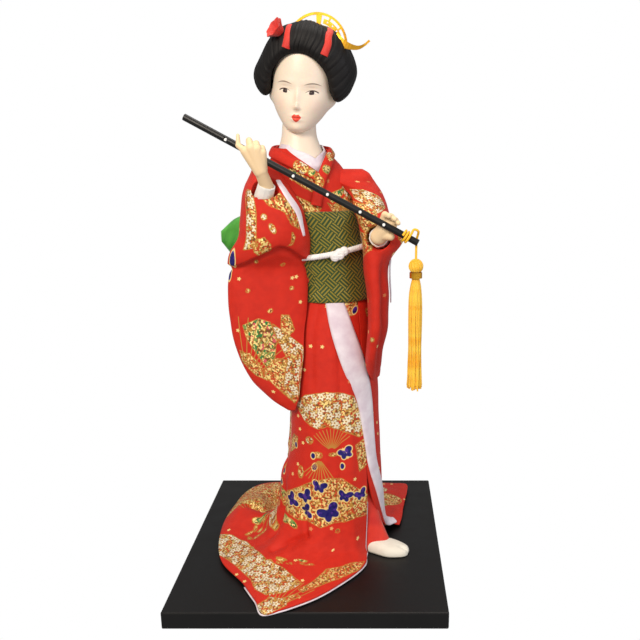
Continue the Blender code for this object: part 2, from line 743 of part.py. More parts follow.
def make_bow(looks, cutters):
    """The stiff bow behind the waist: two wings, a middle knot and a tail."""
    turned = Matrix.Translation(BOW_MIDDLE) @ Matrix.Rotation(math.radians(BOW_TURN), 4, "Z")
    # Share of the wing's reach, half height, half depth, rise
    stations = (
        (0.115, 8.0, 3.2, 0.0),
        (0.22, 12.5, 5.8, 0.0),
        (0.42, 16.0, 7.4, 0.5),
        (0.66, 15.5, 6.8, 1.5),
        (0.84, 12.0, 4.8, 2.8),
        (1.0, 3.0, 1.4, 5.0),
    )
    for side, reach in BOW_WINGS.items():
        rings = []
        for share, tall, deep, rise in stations:
            middle = Vector((reach * share, 1.5 - abs(reach) * share * 0.045, rise))
            ring = []
            for i in range(16):
                flat = direction(360.0 * i / 16)
                y = deep * math.copysign(abs(flat.x) ** 0.8, flat.x)
                z = tall * math.copysign(abs(flat.y) ** 0.6, flat.y)
                ring.append(turned @ (middle + Vector((0.0, y, z))))
            rings.append(ring)
        wing = loft(f"bow_wing_{side}", rings, looks["obi"])
        for cutter in cutters:
            boolean(wing, cutter)
    sections = ((-16.0, 4.0, 6.6), (-12.0, 4.6, 8.6), (0.0, 3.6, 9.2), (12.0, 4.6, 8.6), (16.0, 4.0, 6.6))
    rings = []
    for z, wide, deep in sections:
        rings.append([turned @ p for p in oval((0.0, 1.0), wide, deep, 0.0, z, 18, 3.0)])
    knot = loft("bow_knot", rings, looks["obi"])
    for cutter in cutters:
        boolean(knot, cutter)
    tail = ((-18.5, 13.0, 1.0), (-32.0, 14.0, 0.6), (-48.0, 15.0, 0.6), (-66.0, 16.0, 1.2))
    rings = [[turned @ p for p in oval((0.0, back), wide, 1.2, 0.0, z, 16, 4.0)] for z, wide, back in tail]
    loft("bow_tail", rings, looks["obi"])


# Arms

def sleeve_point(rows, angle, z):
    x, y, half, thick, turn = along(rows, z)
    return oval_point((x, y), half, thick, turn, z, angle, SLEEVE_POWER)


def right_sleeve_point(angle, z):
    return sleeve_point(RIGHT_SLEEVE, angle, z)


def left_sleeve_point(angle, z):
    return sleeve_point(LEFT_SLEEVE, angle, z)


def sleeve_solid(name, rows, look):
    step = 360.0 / SLEEVE_COLUMNS
    angles = [step * i for i in range(SLEEVE_COLUMNS)]
    return loft(name, [[sleeve_point(rows, a, row[0]) for a in angles] for row in rows], look)


def cuff(name, look, start, end, radii, thickness, sides=16):
    """A short open tube between two points, wider at its far end."""
    aim = (end - start).to_track_quat("Z", "Y")
    outer, inner = [], []
    for share in (0.0, 0.5, 1.0):
        place = start.lerp(end, share)
        radius = radii[0] + (radii[1] - radii[0]) * share
        for rings, less in ((outer, 0.0), (inner, thickness)):
            flat = [direction(360.0 * i / sides) * (radius - less) for i in range(sides)]
            rings.append([place + aim @ p for p in flat])
    wall(name, outer, inner, look)


def make_sleeves(looks, cutters):
    """Long hanging sleeves, solid where their padded layers lie together."""
    right = sleeve_solid("sleeve_right", RIGHT_SLEEVE, looks["brocade"])
    left = sleeve_solid("sleeve_left", LEFT_SLEEVE, looks["brocade"])
    corner = rod("cut_corner", (37.5, -15.0, 190.5), (51.5, -20.5, 192.4), 8.0, None, 1.2, 14)
    boolean(left, corner, "UNION")
    pockets = (
        (right, RIGHT_WRIST, RIGHT_ELBOW, 6.4),
        (left, LEFT_WRIST, LEFT_ELBOW, 6.0),
    )
    for sleeve, wrist, elbow, mouth in pockets:
        for cutter in cutters:
            boolean(sleeve, cutter)
        away = (wrist - elbow).normalized()
        deep = wrist.lerp(elbow, HAND_SEAT) - away * GAP
        rim = mouth + GAP
        pocket = rod(f"cut_{sleeve.name}", wrist + away * 9.0, deep, rim + 1.0, None, rim, 18)
        boolean(sleeve, pocket)
    for name, wrist, elbow, radii in (
        ("cuff_right", RIGHT_WRIST, RIGHT_ELBOW, (5.4, 6.4)),
        ("cuff_left", LEFT_WRIST, LEFT_ELBOW, (5.2, 6.0)),
    ):
        cuff(name, looks["white"], wrist.lerp(elbow, 0.1), wrist.lerp(elbow, HAND_SEAT), radii, 0.8)
    return right, left


def make_sleeve_linings(looks):
    """The pale lining that shows along the front edge of each sleeve."""
    right_edge = (
        (-66.0, 218.0, 3.0),
        (-60.0, 212.5, 3.4),
        (-54.0, 206.0, 3.2),
        (-50.0, 198.0, 2.6),
        (-47.0, 190.0, 1.6),
    )
    left_edge = (
        (-112.0, 181.0, 2.2),
        (-108.0, 175.0, 3.2),
        (-104.0, 168.0, 3.0),
        (-100.0, 162.0, 2.2),
        (-98.0, 157.0, 1.2),
    )
    for name, surface, path in (
        ("sleeve_lining_right", right_sleeve_point, right_edge),
        ("sleeve_lining_left", left_sleeve_point, left_edge),
    ):
        band_on(name, looks["lining"], surface, (0.5, 0.3), path, GAP, LINING_THICKNESS, 10, 2)


def hand(name, look, strokes):
    """A moulded hand: tapered rods for wrist, palm and fingers, melted into one skin."""
    bm = bmesh.new()
    for start, end, first, last in strokes:
        start, end = Vector(start), Vector(end)
        turn = (end - start).to_track_quat("Z", "Y").to_matrix().to_4x4()
        bmesh.ops.create_cone(
            bm,
            cap_ends=True,
            segments=12,
            radius1=first * MM,
            radius2=last * MM,
            depth=(end - start).length * MM,
            matrix=Matrix.Translation((start + end) / 2 * MM) @ turn,
        )
        for place, radius in ((start, first), (end, last)):
            bmesh.ops.create_icosphere(
                bm, subdivisions=2, radius=radius * MM, matrix=Matrix.Translation(place * MM)
            )
    made = finish(name, bm, look, 180.0)
    skin = made.modifiers.new("skin", "REMESH")
    skin.mode = "VOXEL"
    skin.voxel_size = 0.7 * MM
    smooth = made.modifiers.new("smooth", "SMOOTH")
    smooth.iterations = 3
    fewer = made.modifiers.new("fewer", "DECIMATE")
    fewer.ratio = 0.1
    return made


def make_hands(looks, flute_cutter):
    """Both hands, from forearm to finger tips, closed on the flute."""
    right_root = RIGHT_WRIST.lerp(RIGHT_ELBOW, HAND_ROOT)
    right = hand(
        "hand_right",
        looks["hand"],
        (
            (right_root, RIGHT_WRIST, 3.6, 3.5),
            (RIGHT_WRIST, (-20.2, -31.0, 225.5), 3.5, 3.1),
            ((-21.0, -32.0, 226.0), (-27.0, -34.6, 236.0), 2.7, 2.4),
            ((-20.4, -32.2, 226.5), (-24.2, -35.0, 237.2), 2.7, 2.5),
            ((-19.6, -31.8, 226.5), (-21.2, -34.6, 236.8), 2.5, 2.3),
            ((-19.2, -31.2, 227.0), (-18.8, -33.8, 235.2), 2.2, 2.0),
            ((-24.2, -35.0, 237.2), (-25.4, -32.0, 241.0), 1.9, 1.6),
            ((-25.4, -32.0, 241.0), (-24.8, -27.6, 238.8), 1.5, 1.2),
            ((-21.2, -34.6, 236.8), (-22.0, -31.6, 239.6), 1.9, 1.6),
            ((-22.0, -31.6, 239.6), (-21.5, -27.4, 237.2), 1.5, 1.2),
            ((-18.8, -33.8, 235.2), (-19.2, -31.0, 237.6), 1.7, 1.4),
            ((-19.2, -31.0, 237.6), (-18.8, -27.4, 235.4), 1.3, 1.1),
            ((-27.0, -34.6, 236.0), (-30.4, -34.0, 238.6), 1.8, 1.4),
            ((-30.4, -34.0, 238.6), (-30.6, -32.4, 243.4), 1.3, 0.9),
            ((-22.0, -30.5, 226.5), (-25.4, -26.4, 230.2), 2.0, 1.5),
            ((-25.4, -26.4, 230.2), (-29.0, -26.0, 234.4), 1.4, 1.1),
        ),
    )
    left_root = LEFT_WRIST.lerp(LEFT_ELBOW, HAND_ROOT)
    left = hand(
        "hand_left",
        looks["hand"],
        (
            (left_root, LEFT_WRIST, 3.1, 3.0),
            (LEFT_WRIST, (39.5, -29.6, 197.5), 3.0, 3.2),
            ((40.0, -29.0, 197.0), (43.0, -30.2, 200.0), 3.3, 2.8),
            ((39.4, -29.6, 200.5), (40.4, -31.6, 206.2), 2.2, 1.7),
            ((40.4, -31.6, 206.2), (43.2, -35.4, 205.4), 1.6, 1.2),
            ((42.2, -29.8, 200.5), (43.6, -31.8, 205.0), 2.1, 1.7),
            ((43.6, -31.8, 205.0), (46.4, -35.6, 203.6), 1.6, 1.2),
            ((44.0, -30.2, 199.0), (46.2, -32.2, 203.2), 1.9, 1.5),
            ((46.2, -32.2, 203.2), (48.4, -35.6, 201.6), 1.4, 1.1),
            ((39.6, -30.5, 194.0), (43.8, -33.2, 192.8), 2.2, 1.5),
        ),
    )
    for made in (right, left):
        boolean(made, flute_cutter)
    return right, left


def make_arm_wires(looks, wearers):
    """The wire in each arm, from inside the hand through the sleeve to the torso."""
    for side, wrist, elbow, shoulder in (
        ("right", RIGHT_WRIST, RIGHT_ELBOW, RIGHT_SHOULDER),
        ("left", LEFT_WRIST, LEFT_ELBOW, LEFT_SHOULDER),
    ):
        inside = wrist.lerp(elbow, HAND_ROOT / 2)
        route = smooth_points((inside, wrist.lerp(elbow, 0.7), elbow, *shoulder), 18)
        sweep(f"arm_wire_{side}", route, WIRE_RADIUS, looks["wire"])
        lead, tail = (route[0] - route[1]).normalized(), (route[-1] - route[-2]).normalized()
        longer = [route[0] + lead * GAP, *route[1:-1], route[-1] + tail * GAP]
        cutter = sweep(f"cut_wire_{side}", longer, WIRE_RADIUS + GAP, None)
        for wearer in wearers[side]:
            boolean(wearer, cutter)


# Head and hair

def head_frame():
    turn = Matrix.Rotation(math.radians(HEAD_TURN), 4, "Z")
    roll = Matrix.Rotation(math.radians(HEAD_ROLL), 4, "Y")
    nod = Matrix.Rotation(math.radians(HEAD_NOD), 4, "X")
    return Matrix.Translation(HEAD_MIDDLE) @ turn @ roll @ nod


def face_relief(x, z):
    """How far the face stands out at a place seen from the front."""
    nose = 2.2 * hill(x, 0.0, 1.9) * hill(z, -7.4, 2.0) + 1.3 * hill(x, 0.0, 1.5) * hill(z, -3.4, 4.4)
    sockets = -1.0 * hill(abs(x), 6.6, 3.6) * hill(z, 1.2, 2.4)
    brow = 0.4 * hill(abs(x), 5.8, 4.6) * hill(z, 5.4, 2.2)
    lips = 0.9 * hill(x, 0.0, 2.8) * hill(z, -12.9, 1.9)
    chin = 0.9 * hill(x, 0.0, 3.4) * hill(z, -18.0, 2.2)
    cheeks = 0.7 * hill(abs(x), 7.6, 4.0) * hill(z, -7.0, 4.4)
    return nose + sockets + brow + lips + chin + cheeks


def head_ring(z, count):
    half, front, back = along(HEAD_LINE, z)
    middle, deep = (front + back) / 2, (back - front) / 2
    ring = []
    for i in range(count):
        flat = direction(360.0 * i / count - 90.0)
        x, y = half * flat.x, middle + deep * flat.y
        if flat.y < 0.0:
            y -= face_relief(x, z) * ease(-flat.y * 1.6)
        ring.append(Vector((x, y, z)))
    return ring


def make_head(looks):
    """The moulded head and neck, ending in the plate that sits on the torso."""
    frame = head_frame()
    step = 360.0 / HEAD_COLUMNS
    rings = []
    for z, x, y, a, b in NECK_LINE:
        rings.append([oval_point((x, y), a, b, 0.0, z, i * step - 90.0) for i in range(HEAD_COLUMNS)])
    jaw = [frame @ p for p in head_ring(FACE_LEVELS[0], HEAD_COLUMNS)]
    under = [p.lerp(q, 0.7) for p, q in zip(rings[-1], jaw)]
    rings.append([Vector((p.x, p.y, max(p.z, NECK_LINE[-1][0] + 0.6))) for p in under])
    for z in FACE_LEVELS:
        rings.append([frame @ p for p in head_ring(z, HEAD_COLUMNS)])
    loft("head", rings, looks["skin"])


def hair_controls():
    """One closed table for each control point of the comb lines, round the whole hairline."""
    half = [(u, line) for u, *line in HAIR_LINES]
    other = [(1.0 - u, [(-x, y, z) for x, y, z in line]) for u, line in reversed(half[1:-1])]
    ring = half + other
    before = [(u - 1.0, line) for u, line in ring[-2:]]
    after = [(u + 1.0, line) for u, line in ring[:3]]
    rows = before + ring + after
    return [[(u, *line[k]) for u, line in rows] for k in range(len(half[0][1]))]


HAIR_TABLES = hair_controls()


def wig_point(u, share):
    """A point on the combed hair: u round the hairline, share from hairline to crown."""
    line = [Vector(along(table, u % 1.0)) for table in HAIR_TABLES]
    line.append(HAIR_GATHER + (line[-1] - HAIR_GATHER).normalized() * 1.5)
    return head_frame() @ Vector(along(numbered(line), (len(line) - 1) * share))


def skull_reach(out):
    """Distance from the skull's middle to the outside of the head, found by halving."""
    near, far = 0.0, 40.0
    for _ in range(22):
        probe = (near + far) / 2
        p = SKULL_MIDDLE + out * probe
        inside = HEAD_LINE[0][0] < p.z < HEAD_LINE[-1][0]
        if inside:
            half, front, back = along(HEAD_LINE, p.z)
            y = (p.y - (front + back) / 2) / ((back - front) / 2)
            inside = (p.x / half) ** 2 + y**2 < 1.0
        near, far = (probe, far) if inside else (near, probe)
    return near


def make_wig(looks):
    """The combed wig: a cap over the skull that swells into a front roll and two side wings."""
    frame = head_frame()
    back = frame.inverted()
    outer, inner = [], []
    for r in range(WIG_LEVELS + 1):
        share = r / WIG_LEVELS
        outside, inside = [], []
        for c in range(WIG_COLUMNS):
            u = c / WIG_COLUMNS
            start = back @ wig_point(u, 0.0)
            out = (start.lerp(SKULL_CROWN, share) - SKULL_MIDDLE).normalized()
            skull = SKULL_MIDDLE + out * (skull_reach(out) + GAP + 0.45)
            inside.append(frame @ skull)
            outside.append(wig_point(u, share) if r else frame @ (skull + out * 0.9))
        outer.append(outside)
        inner.append(inside)
    wig = loft("wig", list(reversed(outer)) + inner, looks["hair"])
    middle = frame @ SKULL_MIDDLE
    swollen = [[p + (p - middle).normalized() * 0.45 for p in ring] for ring in outer]
    return wig, loft("cut_wig", swollen, None)


def make_bun_and_ribbons(looks, wig_cutter):
    """The bun behind the crown and the two ribbons over the front roll."""
    frame = head_frame()
    sections = (
        (-12.5, 2.0, 2.0),
        (-10.0, 4.6, 5.0),
        (-5.0, 6.4, 7.2),
        (0.0, 6.0, 6.6),
        (5.0, 6.4, 7.2),
        (10.0, 4.6, 5.0),
        (12.5, 2.0, 2.0),
    )
    rings = []
    for x, high, deep in sections:
        flats = [direction(360.0 * i / 16) for i in range(16)]
        rings.append([frame @ Vector((x, 15.0 + deep * flat.x, 27.0 + high * flat.y)) for flat in flats])
    bun = loft("topknot", rings, looks["hair"])
    boolean(bun, wig_cutter)
    left = ((0.076, 0.13, 3.9), (0.078, 0.24, 3.5), (0.078, 0.34, 3.4), (0.078, 0.42, 3.2))
    right = ((0.905, 0.08, 3.9), (0.9, 0.27, 3.6), (0.893, 0.46, 3.4), (0.88, 0.62, 3.2))
    for side, path in (("left", left), ("right", right)):
        name = f"hair_ribbon_{side}"
        band_on(name, looks["red"], wig_point, (0.002, -0.01), path, GAP + 0.1, 0.5, 8, 2)


def arch_plate(name, look, inner, outer, start, stop, half_depth, steps):
    """A flat curved strip standing upright in the head's frame."""
    frame = head_frame()
    rings = []
    for i in range(steps + 1):
        flat = direction(start + (stop - start) * i / steps)
        corners = ((inner, -1), (outer, -1), (outer, 1), (inner, 1))
        places = [Vector((r * flat.x, half_depth * side, r * flat.y)) for r, side in corners]
        rings.append([frame @ (COMB_MIDDLE + p) for p in places])
    return flat_loft(name, rings, look)


def make_comb(looks, wig_cutter):
    """The gilt comb: an open arch with a post, and a pierced crescent at its right end."""
    frame = head_frame()
    gold = looks["gold"]
    comb = arch_plate("hair_comb", gold, COMB_OUTER - 1.2, COMB_OUTER, 150.0, 4.0, 0.45, 26)
    crescent = arch_plate("cut_crescent", gold, COMB_INNER, COMB_OUTER - 2.6, 78.0, 8.0, 0.4, 12)
    boolean(comb, crescent, "UNION")
    bars = ((90.0, 3.2, 6.0), (66.0, 0.9, 11.6), (38.0, 0.9, 11.6), (12.0, 1.2, 11.6))
    for number, (angle, wide, low) in enumerate(bars, 1):
        half = math.degrees(wide / 2 / COMB_OUTER)
        name = f"cut_comb_bar_{number}"
        bar = arch_plate(name, gold, low, COMB_OUTER - 0.5, angle - half, angle + half, 0.35, 2)
        boolean(comb, bar, "UNION")
    through = Vector((0.0, 2.0, 0.0))
    for number in range(4):
        flat = direction(68.0 - 15.0 * number) * (COMB_INNER + 1.3)
        middle = COMB_MIDDLE + Vector((flat.x, 0.0, flat.y))
        ends = (frame @ (middle - through), frame @ (middle + through))
        boolean(comb, rod(f"cut_comb_hole_{number + 1}", *ends, 0.75, None, sides=3))
    boolean(comb, wig_cutter)


def make_pin(looks, wig, wig_cutter):
    """The gilt hairpin: a wavy plate at the right, with its stem in the hair."""
    frame = head_frame()
    steps = 14
    line = smooth_points(
        (
            (16.0, -6.0, 26.6),
            (20.0, -6.4, 24.0),
            (24.0, -6.2, 22.6),
            (28.0, -5.4, 22.4),
            (31.0, -4.6, 24.0),
            (33.4, -4.0, 26.4),
        ),
        steps + 1,
    )
    rings = []
    for i, p in enumerate(line):
        run = (line[min(i + 1, steps)] - line[max(i - 1, 0)]).normalized()
        up = run.cross(Vector((0.0, 1.0, 0.0))).normalized() * (2.1 - 1.6 * ease(i / steps * 1.1))
        deep = Vector((0.0, 0.35, 0.0))
        corners = ((-1, -1), (1, -1), (1, 1), (-1, 1))
        rings.append([frame @ (p + up * a + deep * b) for a, b in corners])
    pin = flat_loft("hair_pin", rings, looks["gold"])
    boolean(pin, wig_cutter)
    start, end = frame @ Vector((19.0, -6.3, 24.6)), frame @ Vector((12.0, 0.5, 24.4))
    boolean(pin, rod("cut_stem", start, end, 0.55, looks["gold"], sides=8), "UNION")
    aim = (end - start).normalized()
    boolean(wig, rod("cut_stem_hole", start - aim * 3.0, end + aim * GAP, 0.55 + GAP, None, sides=8))


def make_flower(looks, wig_cutter):
    """The folded ribbon flower: a pleated cone that opens up and to the left."""
    frame = head_frame()
    foot, mouth = Vector((-11.0, -7.5, 27.5)), Vector((-15.5, -14.5, 30.5))
    aim = (mouth - foot).to_track_quat("Z", "Y")
    # Share of the way to the mouth, radius, pleat depth
    sections = (
        (0.0, 1.2, 0.0),
        (0.35, 2.8, 0.06),
        (0.7, 4.8, 0.12),
        (0.95, 5.9, 0.16),
        (1.0, 5.6, 0.16),
        (0.8, 2.6, 0.1),
    )
    rings = []
    for share, radius, pleat in sections:
        ring = []
        for i in range(24):
            wave = 1.0 + pleat * math.cos(math.radians(15.0 * i) * 6.0)
            ring.append(frame @ (foot.lerp(mouth, share) + aim @ (direction(15.0 * i) * radius * wave)))
        rings.append(ring)
    boolean(loft("hair_flower", rings, looks["red"]), wig_cutter)


# Flute and tassel

def make_flute(looks):
    """The flute with its studs; gives back a cutter for the hands that hold it."""
    line = FLUTE_RIGHT - FLUTE_LEFT
    flute = rod("flute", FLUTE_LEFT, FLUTE_RIGHT, FLUTE_RADIUS, looks["black"], sides=16)
    front = Vector((0.0, 0.0, 1.0)).cross(line).normalized()
    front = front if front.y < 0 else -front
    for number, share in enumerate(STUD_PLACES, 1):
        seat = FLUTE_LEFT + line * share + front * FLUTE_RADIUS
        rod(f"flute_stud_{number}", seat - front * 0.5, seat + front * 0.4, 0.85, looks["stud"], 0.6, 10)
        boolean(flute, rod(f"cut_stud_{number}", seat - front * 0.85, seat + front, 1.2, None, sides=10))
    return rod("cut_flute", FLUTE_LEFT, FLUTE_RIGHT, FLUTE_RADIUS + GAP, None, sides=16)


def tassel_route():
    """The cord: turns round the flute, a small loop, then down into the tassel."""
    line = (FLUTE_RIGHT - FLUTE_LEFT).normalized()
    place = FLUTE_LEFT.lerp(FLUTE_RIGHT, TASSEL_PLACE)
    across = line.cross(Vector((0.0, 0.0, 1.0))).normalized()
    up = across.cross(line).normalized()
    ring = FLUTE_RADIUS + TASSEL_CORD_RADIUS + GAP
    pitch = 2 * TASSEL_CORD_RADIUS + 0.3
    steps = 12
    turns = []
    for i in range(int(TASSEL_TURNS * steps) + 1):
        a = 2 * math.pi * i / steps
        turns.append(place + line * (pitch * i / steps) + (across * math.cos(a) + up * math.sin(a)) * ring)
    top = turns[-1]
    drop = Vector((TASSEL_MIDDLE.x, TASSEL_MIDDLE.y, 0.0))
    hang = smooth_points(
        (
            turns[-2],
            top,
            top + Vector((1.2, 0.4, 1.9)),
            top + Vector((3.4, 0.8, 0.8)),
            drop + Vector((0.3, 2.0, 193.0)),
            drop + Vector((0.0, 0.0, 187.0)),
            drop + Vector((0.0, 0.0, 178.0)),
            drop + Vector((0.0, 0.0, TASSEL_CORD_END)),
        ),
        22,
    )
    return turns[:-2] + hang


def make_tassel(looks):
    """The tassel cord with its knob, binding ring and skirt of threads."""
    curve = bpy.data.curves.new("tassel_cord", "CURVE")
    curve.dimensions = "3D"
    curve.bevel_depth = TASSEL_CORD_RADIUS * MM
    curve.bevel_resolution = 2
    curve.use_fill_caps = True
    route = tassel_route()
    spline = curve.splines.new("POLY")
    spline.points.add(len(route) - 1)
    for place, p in zip(spline.points, route):
        place.co = (*(p * MM), 1.0)
    curve.materials.append(looks["silk"])
    bpy.context.scene.collection.objects.link(bpy.data.objects.new("tassel_cord", curve))
    middle = (TASSEL_MIDDLE.x, TASSEL_MIDDLE.y)
    high, low = (*middle, TASSEL_TOP + 3.0), (*middle, TASSEL_CORD_END - GAP)
    bore = rod("cut_tassel_bore", high, low, TASSEL_CORD_RADIUS + GAP, None, sides=10)
    knob = ((TASSEL_TOP, 1.7), (181.6, 3.2), (179.6, 3.6), (TASSEL_NECK, 2.6))
    solid = loft("tassel_knob", [oval(middle, r, r, 0.0, z, 14) for z, r in knob], looks["silk"])
    boolean(solid, bore)
    threads = (
        (TASSEL_NECK - GAP, 2.1),
        (TASSEL_SHOULDER, 2.3),
        (168.0, 3.2),
        (158.0, 3.8),
        (145.0, 3.75),
        (TASSEL_BOTTOM, 4.4),
    )
    solid = loft("tassel_skirt", [oval(middle, r, r, 0.0, z, 18) for z, r in threads], looks["silk"])
    boolean(solid, bore)
    levels = (TASSEL_SHOULDER + GAP, TASSEL_NECK - GAP)
    outer = [oval(middle, 3.2, 3.2, 0.0, z, 16) for z in levels]
    inner = [oval(middle, 2.3 + GAP, 2.3 + GAP, 0.0, z, 16) for z in levels]
    wall("tassel_band", outer, inner, looks["gold"])


def main():
    for thing in list(bpy.data.objects):
        bpy.data.objects.remove(thing)
    looks = make_materials()
    board = make_board(looks)
    posts = make_posts(looks, board)
    make_foot_and_robe(looks, posts)
    make_skirt(looks)
    make_lining_band(looks)
    make_piping(looks)
    torso = make_torso(looks, posts)
    bodice = make_bodice(looks)
    make_collar(looks)
    make_obi(looks)
    clothed = (body_block("cut_body"), make_obi_cord(looks))
    make_bow(looks, clothed)
    sleeve_right, sleeve_left = make_sleeves(looks, clothed)
    make_sleeve_linings(looks)
    hand_right, hand_left = make_hands(looks, make_flute(looks))
    wearers = {
        "right": (hand_right, sleeve_right, bodice, torso),
        "left": (hand_left, sleeve_left, bodice, torso),
    }
    make_arm_wires(looks, wearers)
    make_head(looks)
    wig, wig_cutter = make_wig(looks)
    make_bun_and_ribbons(looks, wig_cutter)
    make_comb(looks, wig_cutter)
    make_pin(looks, wig, wig_cutter)
    make_flower(looks, wig_cutter)
    make_tassel(looks)


main()
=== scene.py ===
import math

import bpy
import numpy as np
from mathutils import Matrix, Vector


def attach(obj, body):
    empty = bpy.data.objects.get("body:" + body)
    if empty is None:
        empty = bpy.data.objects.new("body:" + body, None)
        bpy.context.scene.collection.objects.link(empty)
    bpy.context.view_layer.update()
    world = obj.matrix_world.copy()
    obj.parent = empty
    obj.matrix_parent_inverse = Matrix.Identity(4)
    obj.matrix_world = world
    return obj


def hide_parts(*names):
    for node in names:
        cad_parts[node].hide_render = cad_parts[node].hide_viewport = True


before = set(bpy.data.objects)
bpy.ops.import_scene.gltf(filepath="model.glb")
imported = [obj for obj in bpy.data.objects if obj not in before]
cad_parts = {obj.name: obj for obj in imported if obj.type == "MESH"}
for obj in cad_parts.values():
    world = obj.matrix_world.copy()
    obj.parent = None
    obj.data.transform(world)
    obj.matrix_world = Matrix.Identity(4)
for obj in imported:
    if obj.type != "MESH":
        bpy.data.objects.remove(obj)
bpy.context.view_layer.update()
mm = 0.001
gap = 0.35
print("stage: frame loaded")


# Camera and light

cameraValues = {"place": (0.03678, -0.37690, 0.23478), "pitch": 13.55, "lens": 38.83, "shift": -0.09}
lightValues = {
    "key": ((-0.26, -0.62, 0.60), 0.30, 5.6, "#FFF3E4"),
    "fill": ((0.52, -0.42, 0.30), 0.40, 1.5, "#F6F6FF"),
    "top": ((0.05, 0.05, 0.85), 0.30, 2.0, "#FFF8F0"),
    "surround": 0.38,
}


# sRGB hex to linear: c / 12.92 below 0.04045, else ((c + 0.055) / 1.055) ** 2.4
def toLinear(text):
    values = [int(text[i : i + 2], 16) / 255 for i in (1, 3, 5)]
    return [c / 12.92 if c <= 0.04045 else ((c + 0.055) / 1.055) ** 2.4 for c in values] + [1.0]


# Adds one node: values fill its inputs in order, named fills them by name, settings are its properties.
# A node given as a value links its first output, and (node, "Name") links that output.
def addNode(tree, kind, *values, named=None, **settings):
    made = tree.nodes.new("ShaderNode" + kind)
    for key, value in settings.items():
        setattr(made, key, value)
    for key, value in list(enumerate(values)) + list((named or {}).items()):
        if value is None:
            continue
        if isinstance(value, str):
            value = toLinear(value)
        if isinstance(value, bpy.types.Node):
            value = (value, 0)
        if isinstance(value, tuple) and isinstance(value[0], bpy.types.Node):
            tree.links.new(made.inputs[key], value[0].outputs[value[1]])
        else:
            made.inputs[key].default_value = value
    return made


# A camera that looks pitch degrees down from its place, square lamps aimed at the figurine's middle,
# and a surround that is white to the camera and as strong as its value to everything else
def setUpView(view, lights):
    scene = bpy.context.scene
    camera = bpy.data.objects.new("camera", bpy.data.cameras.new("camera"))
    camera.location = view["place"]
    camera.rotation_euler = (math.radians(90 - view["pitch"]), 0, 0)
    camera.data.lens = view["lens"]
    camera.data.shift_x = view["shift"]
    camera.data.clip_start = 0.01
    scene.collection.objects.link(camera)
    scene.camera = camera
    scene.view_settings.view_transform = "Standard"
    for name, value in lights.items():
        if name == "surround":
            continue
        place, size, watts, tint = value
        lamp = bpy.data.objects.new(name, bpy.data.lights.new(name, "AREA"))
        lamp.data.size = size
        lamp.data.energy = watts
        lamp.data.color = toLinear(tint)[:3]
        lamp.location = place
        lamp.rotation_euler = (Vector((0, 0, 0.15)) - Vector(place)).to_track_quat("-Z", "Y").to_euler()
        scene.collection.objects.link(lamp)
    world = bpy.data.worlds.new("studio")
    scene.world = world
    world.use_nodes = True
    tree = world.node_tree
    tree.nodes.clear()
    seen = addNode(tree, "LightPath")
    white = addNode(tree, "Background", "#FFFFFF", 1.0)
    soft = addNode(tree, "Background", "#FFFFFF", lights["surround"])
    both = addNode(tree, "MixShader", (seen, "Is Camera Ray"), soft, white)
    addNode(tree, "OutputWorld", both)


setUpView(cameraValues, lightValues)
print("stage: camera and lights")


# Curves and grids, in millimetres

# Cubic from low to high with slopes rise and fall, as t runs from 0 to 1
def cubic(low, high, rise, fall, t):
    got = low * (2 * t**3 - 3 * t**2 + 1) + high * (3 * t**2 - 2 * t**3)
    return got + rise * (t**3 - 2 * t**2 + t) + fall * (t**3 - t**2)


# Catmull-Rom through a table's rows (key first), held flat outside it; keys may be an array
def curveAt(table, keys):
    table = np.asarray(table, float)
    keys = np.asarray(keys, float)
    last = len(table) - 1
    k = np.clip(np.searchsorted(table[1:, 0], keys), 0, last - 1)
    low, high = table[k], table[k + 1]
    before, after = table[np.maximum(k - 1, 0)], table[np.minimum(k + 2, last)]
    span = (high - low)[..., :1]
    t = np.clip((keys[..., None] - low[..., :1]) / span, 0, 1)
    rise = (high - before) / (high - before)[..., :1] * span
    fall = (after - low) / (after - low)[..., :1] * span
    return cubic(low, high, rise, fall, t)[..., 1:]


# Catmull-Rom through stacked knots, a curve for each place in them, at row numbers from 0 up
def alongKnots(knots, row):
    knots = np.stack(knots)
    last = len(knots) - 1
    k = np.clip(np.ceil(row).astype(int) - 1, 0, last - 1)
    around = [np.clip(k + step, 0, last) for step in (-1, 0, 1, 2)]
    before, low, high, after = [np.take_along_axis(knots, at[None, ..., None], 0)[0] for at in around]
    rise = (high - before) / (around[2] - around[0])[..., None]
    fall = (after - low) / (around[3] - around[1])[..., None]
    return cubic(low, high, rise, fall, (row - k)[..., None])


# Points with their own numbers in front, as keys
def numbered(points):
    points = np.asarray(points, float)
    return np.column_stack((np.arange(len(points)), points.reshape(len(points), -1)))


# count points along the Catmull-Rom curve through a few
def smoothLine(points, count):
    return curveAt(numbered(points), np.linspace(0, len(points) - 1, count))


# Smooth step: t t (3 - 2 t), with t held between 0 and 1
def ease(t):
    t = np.clip(t, 0, 1)
    return t * t * (3 - 2 * t)


# Bell: e to the minus square of (x - middle) / width
def hill(x, middle, width):
    return np.exp(-(((x - middle) / width) ** 2))


# Vectors made one long
def unit(vectors):
    return vectors / np.linalg.norm(vectors, axis=-1, keepdims=True)


# Sign of a value times its size to a power below 1, which squares an oval's corners
def squared(value, power):
    return np.sign(value) * np.abs(value) ** power


# Angles, cosines and sines of count equal turns
def roundTurns(count):
    angle = np.linspace(0, 2 * math.pi, count, endpoint=False)
    return angle, np.cos(angle), np.sin(angle)


# Points from their x, y and z, each spread to the shape of the largest
def joined(*parts):
    return np.stack(np.broadcast_arrays(*parts), -1)


# Degrees away from an aim, between -180 and 180
def turnFrom(theta, aim):
    return (theta - aim + 180) % 360 - 180


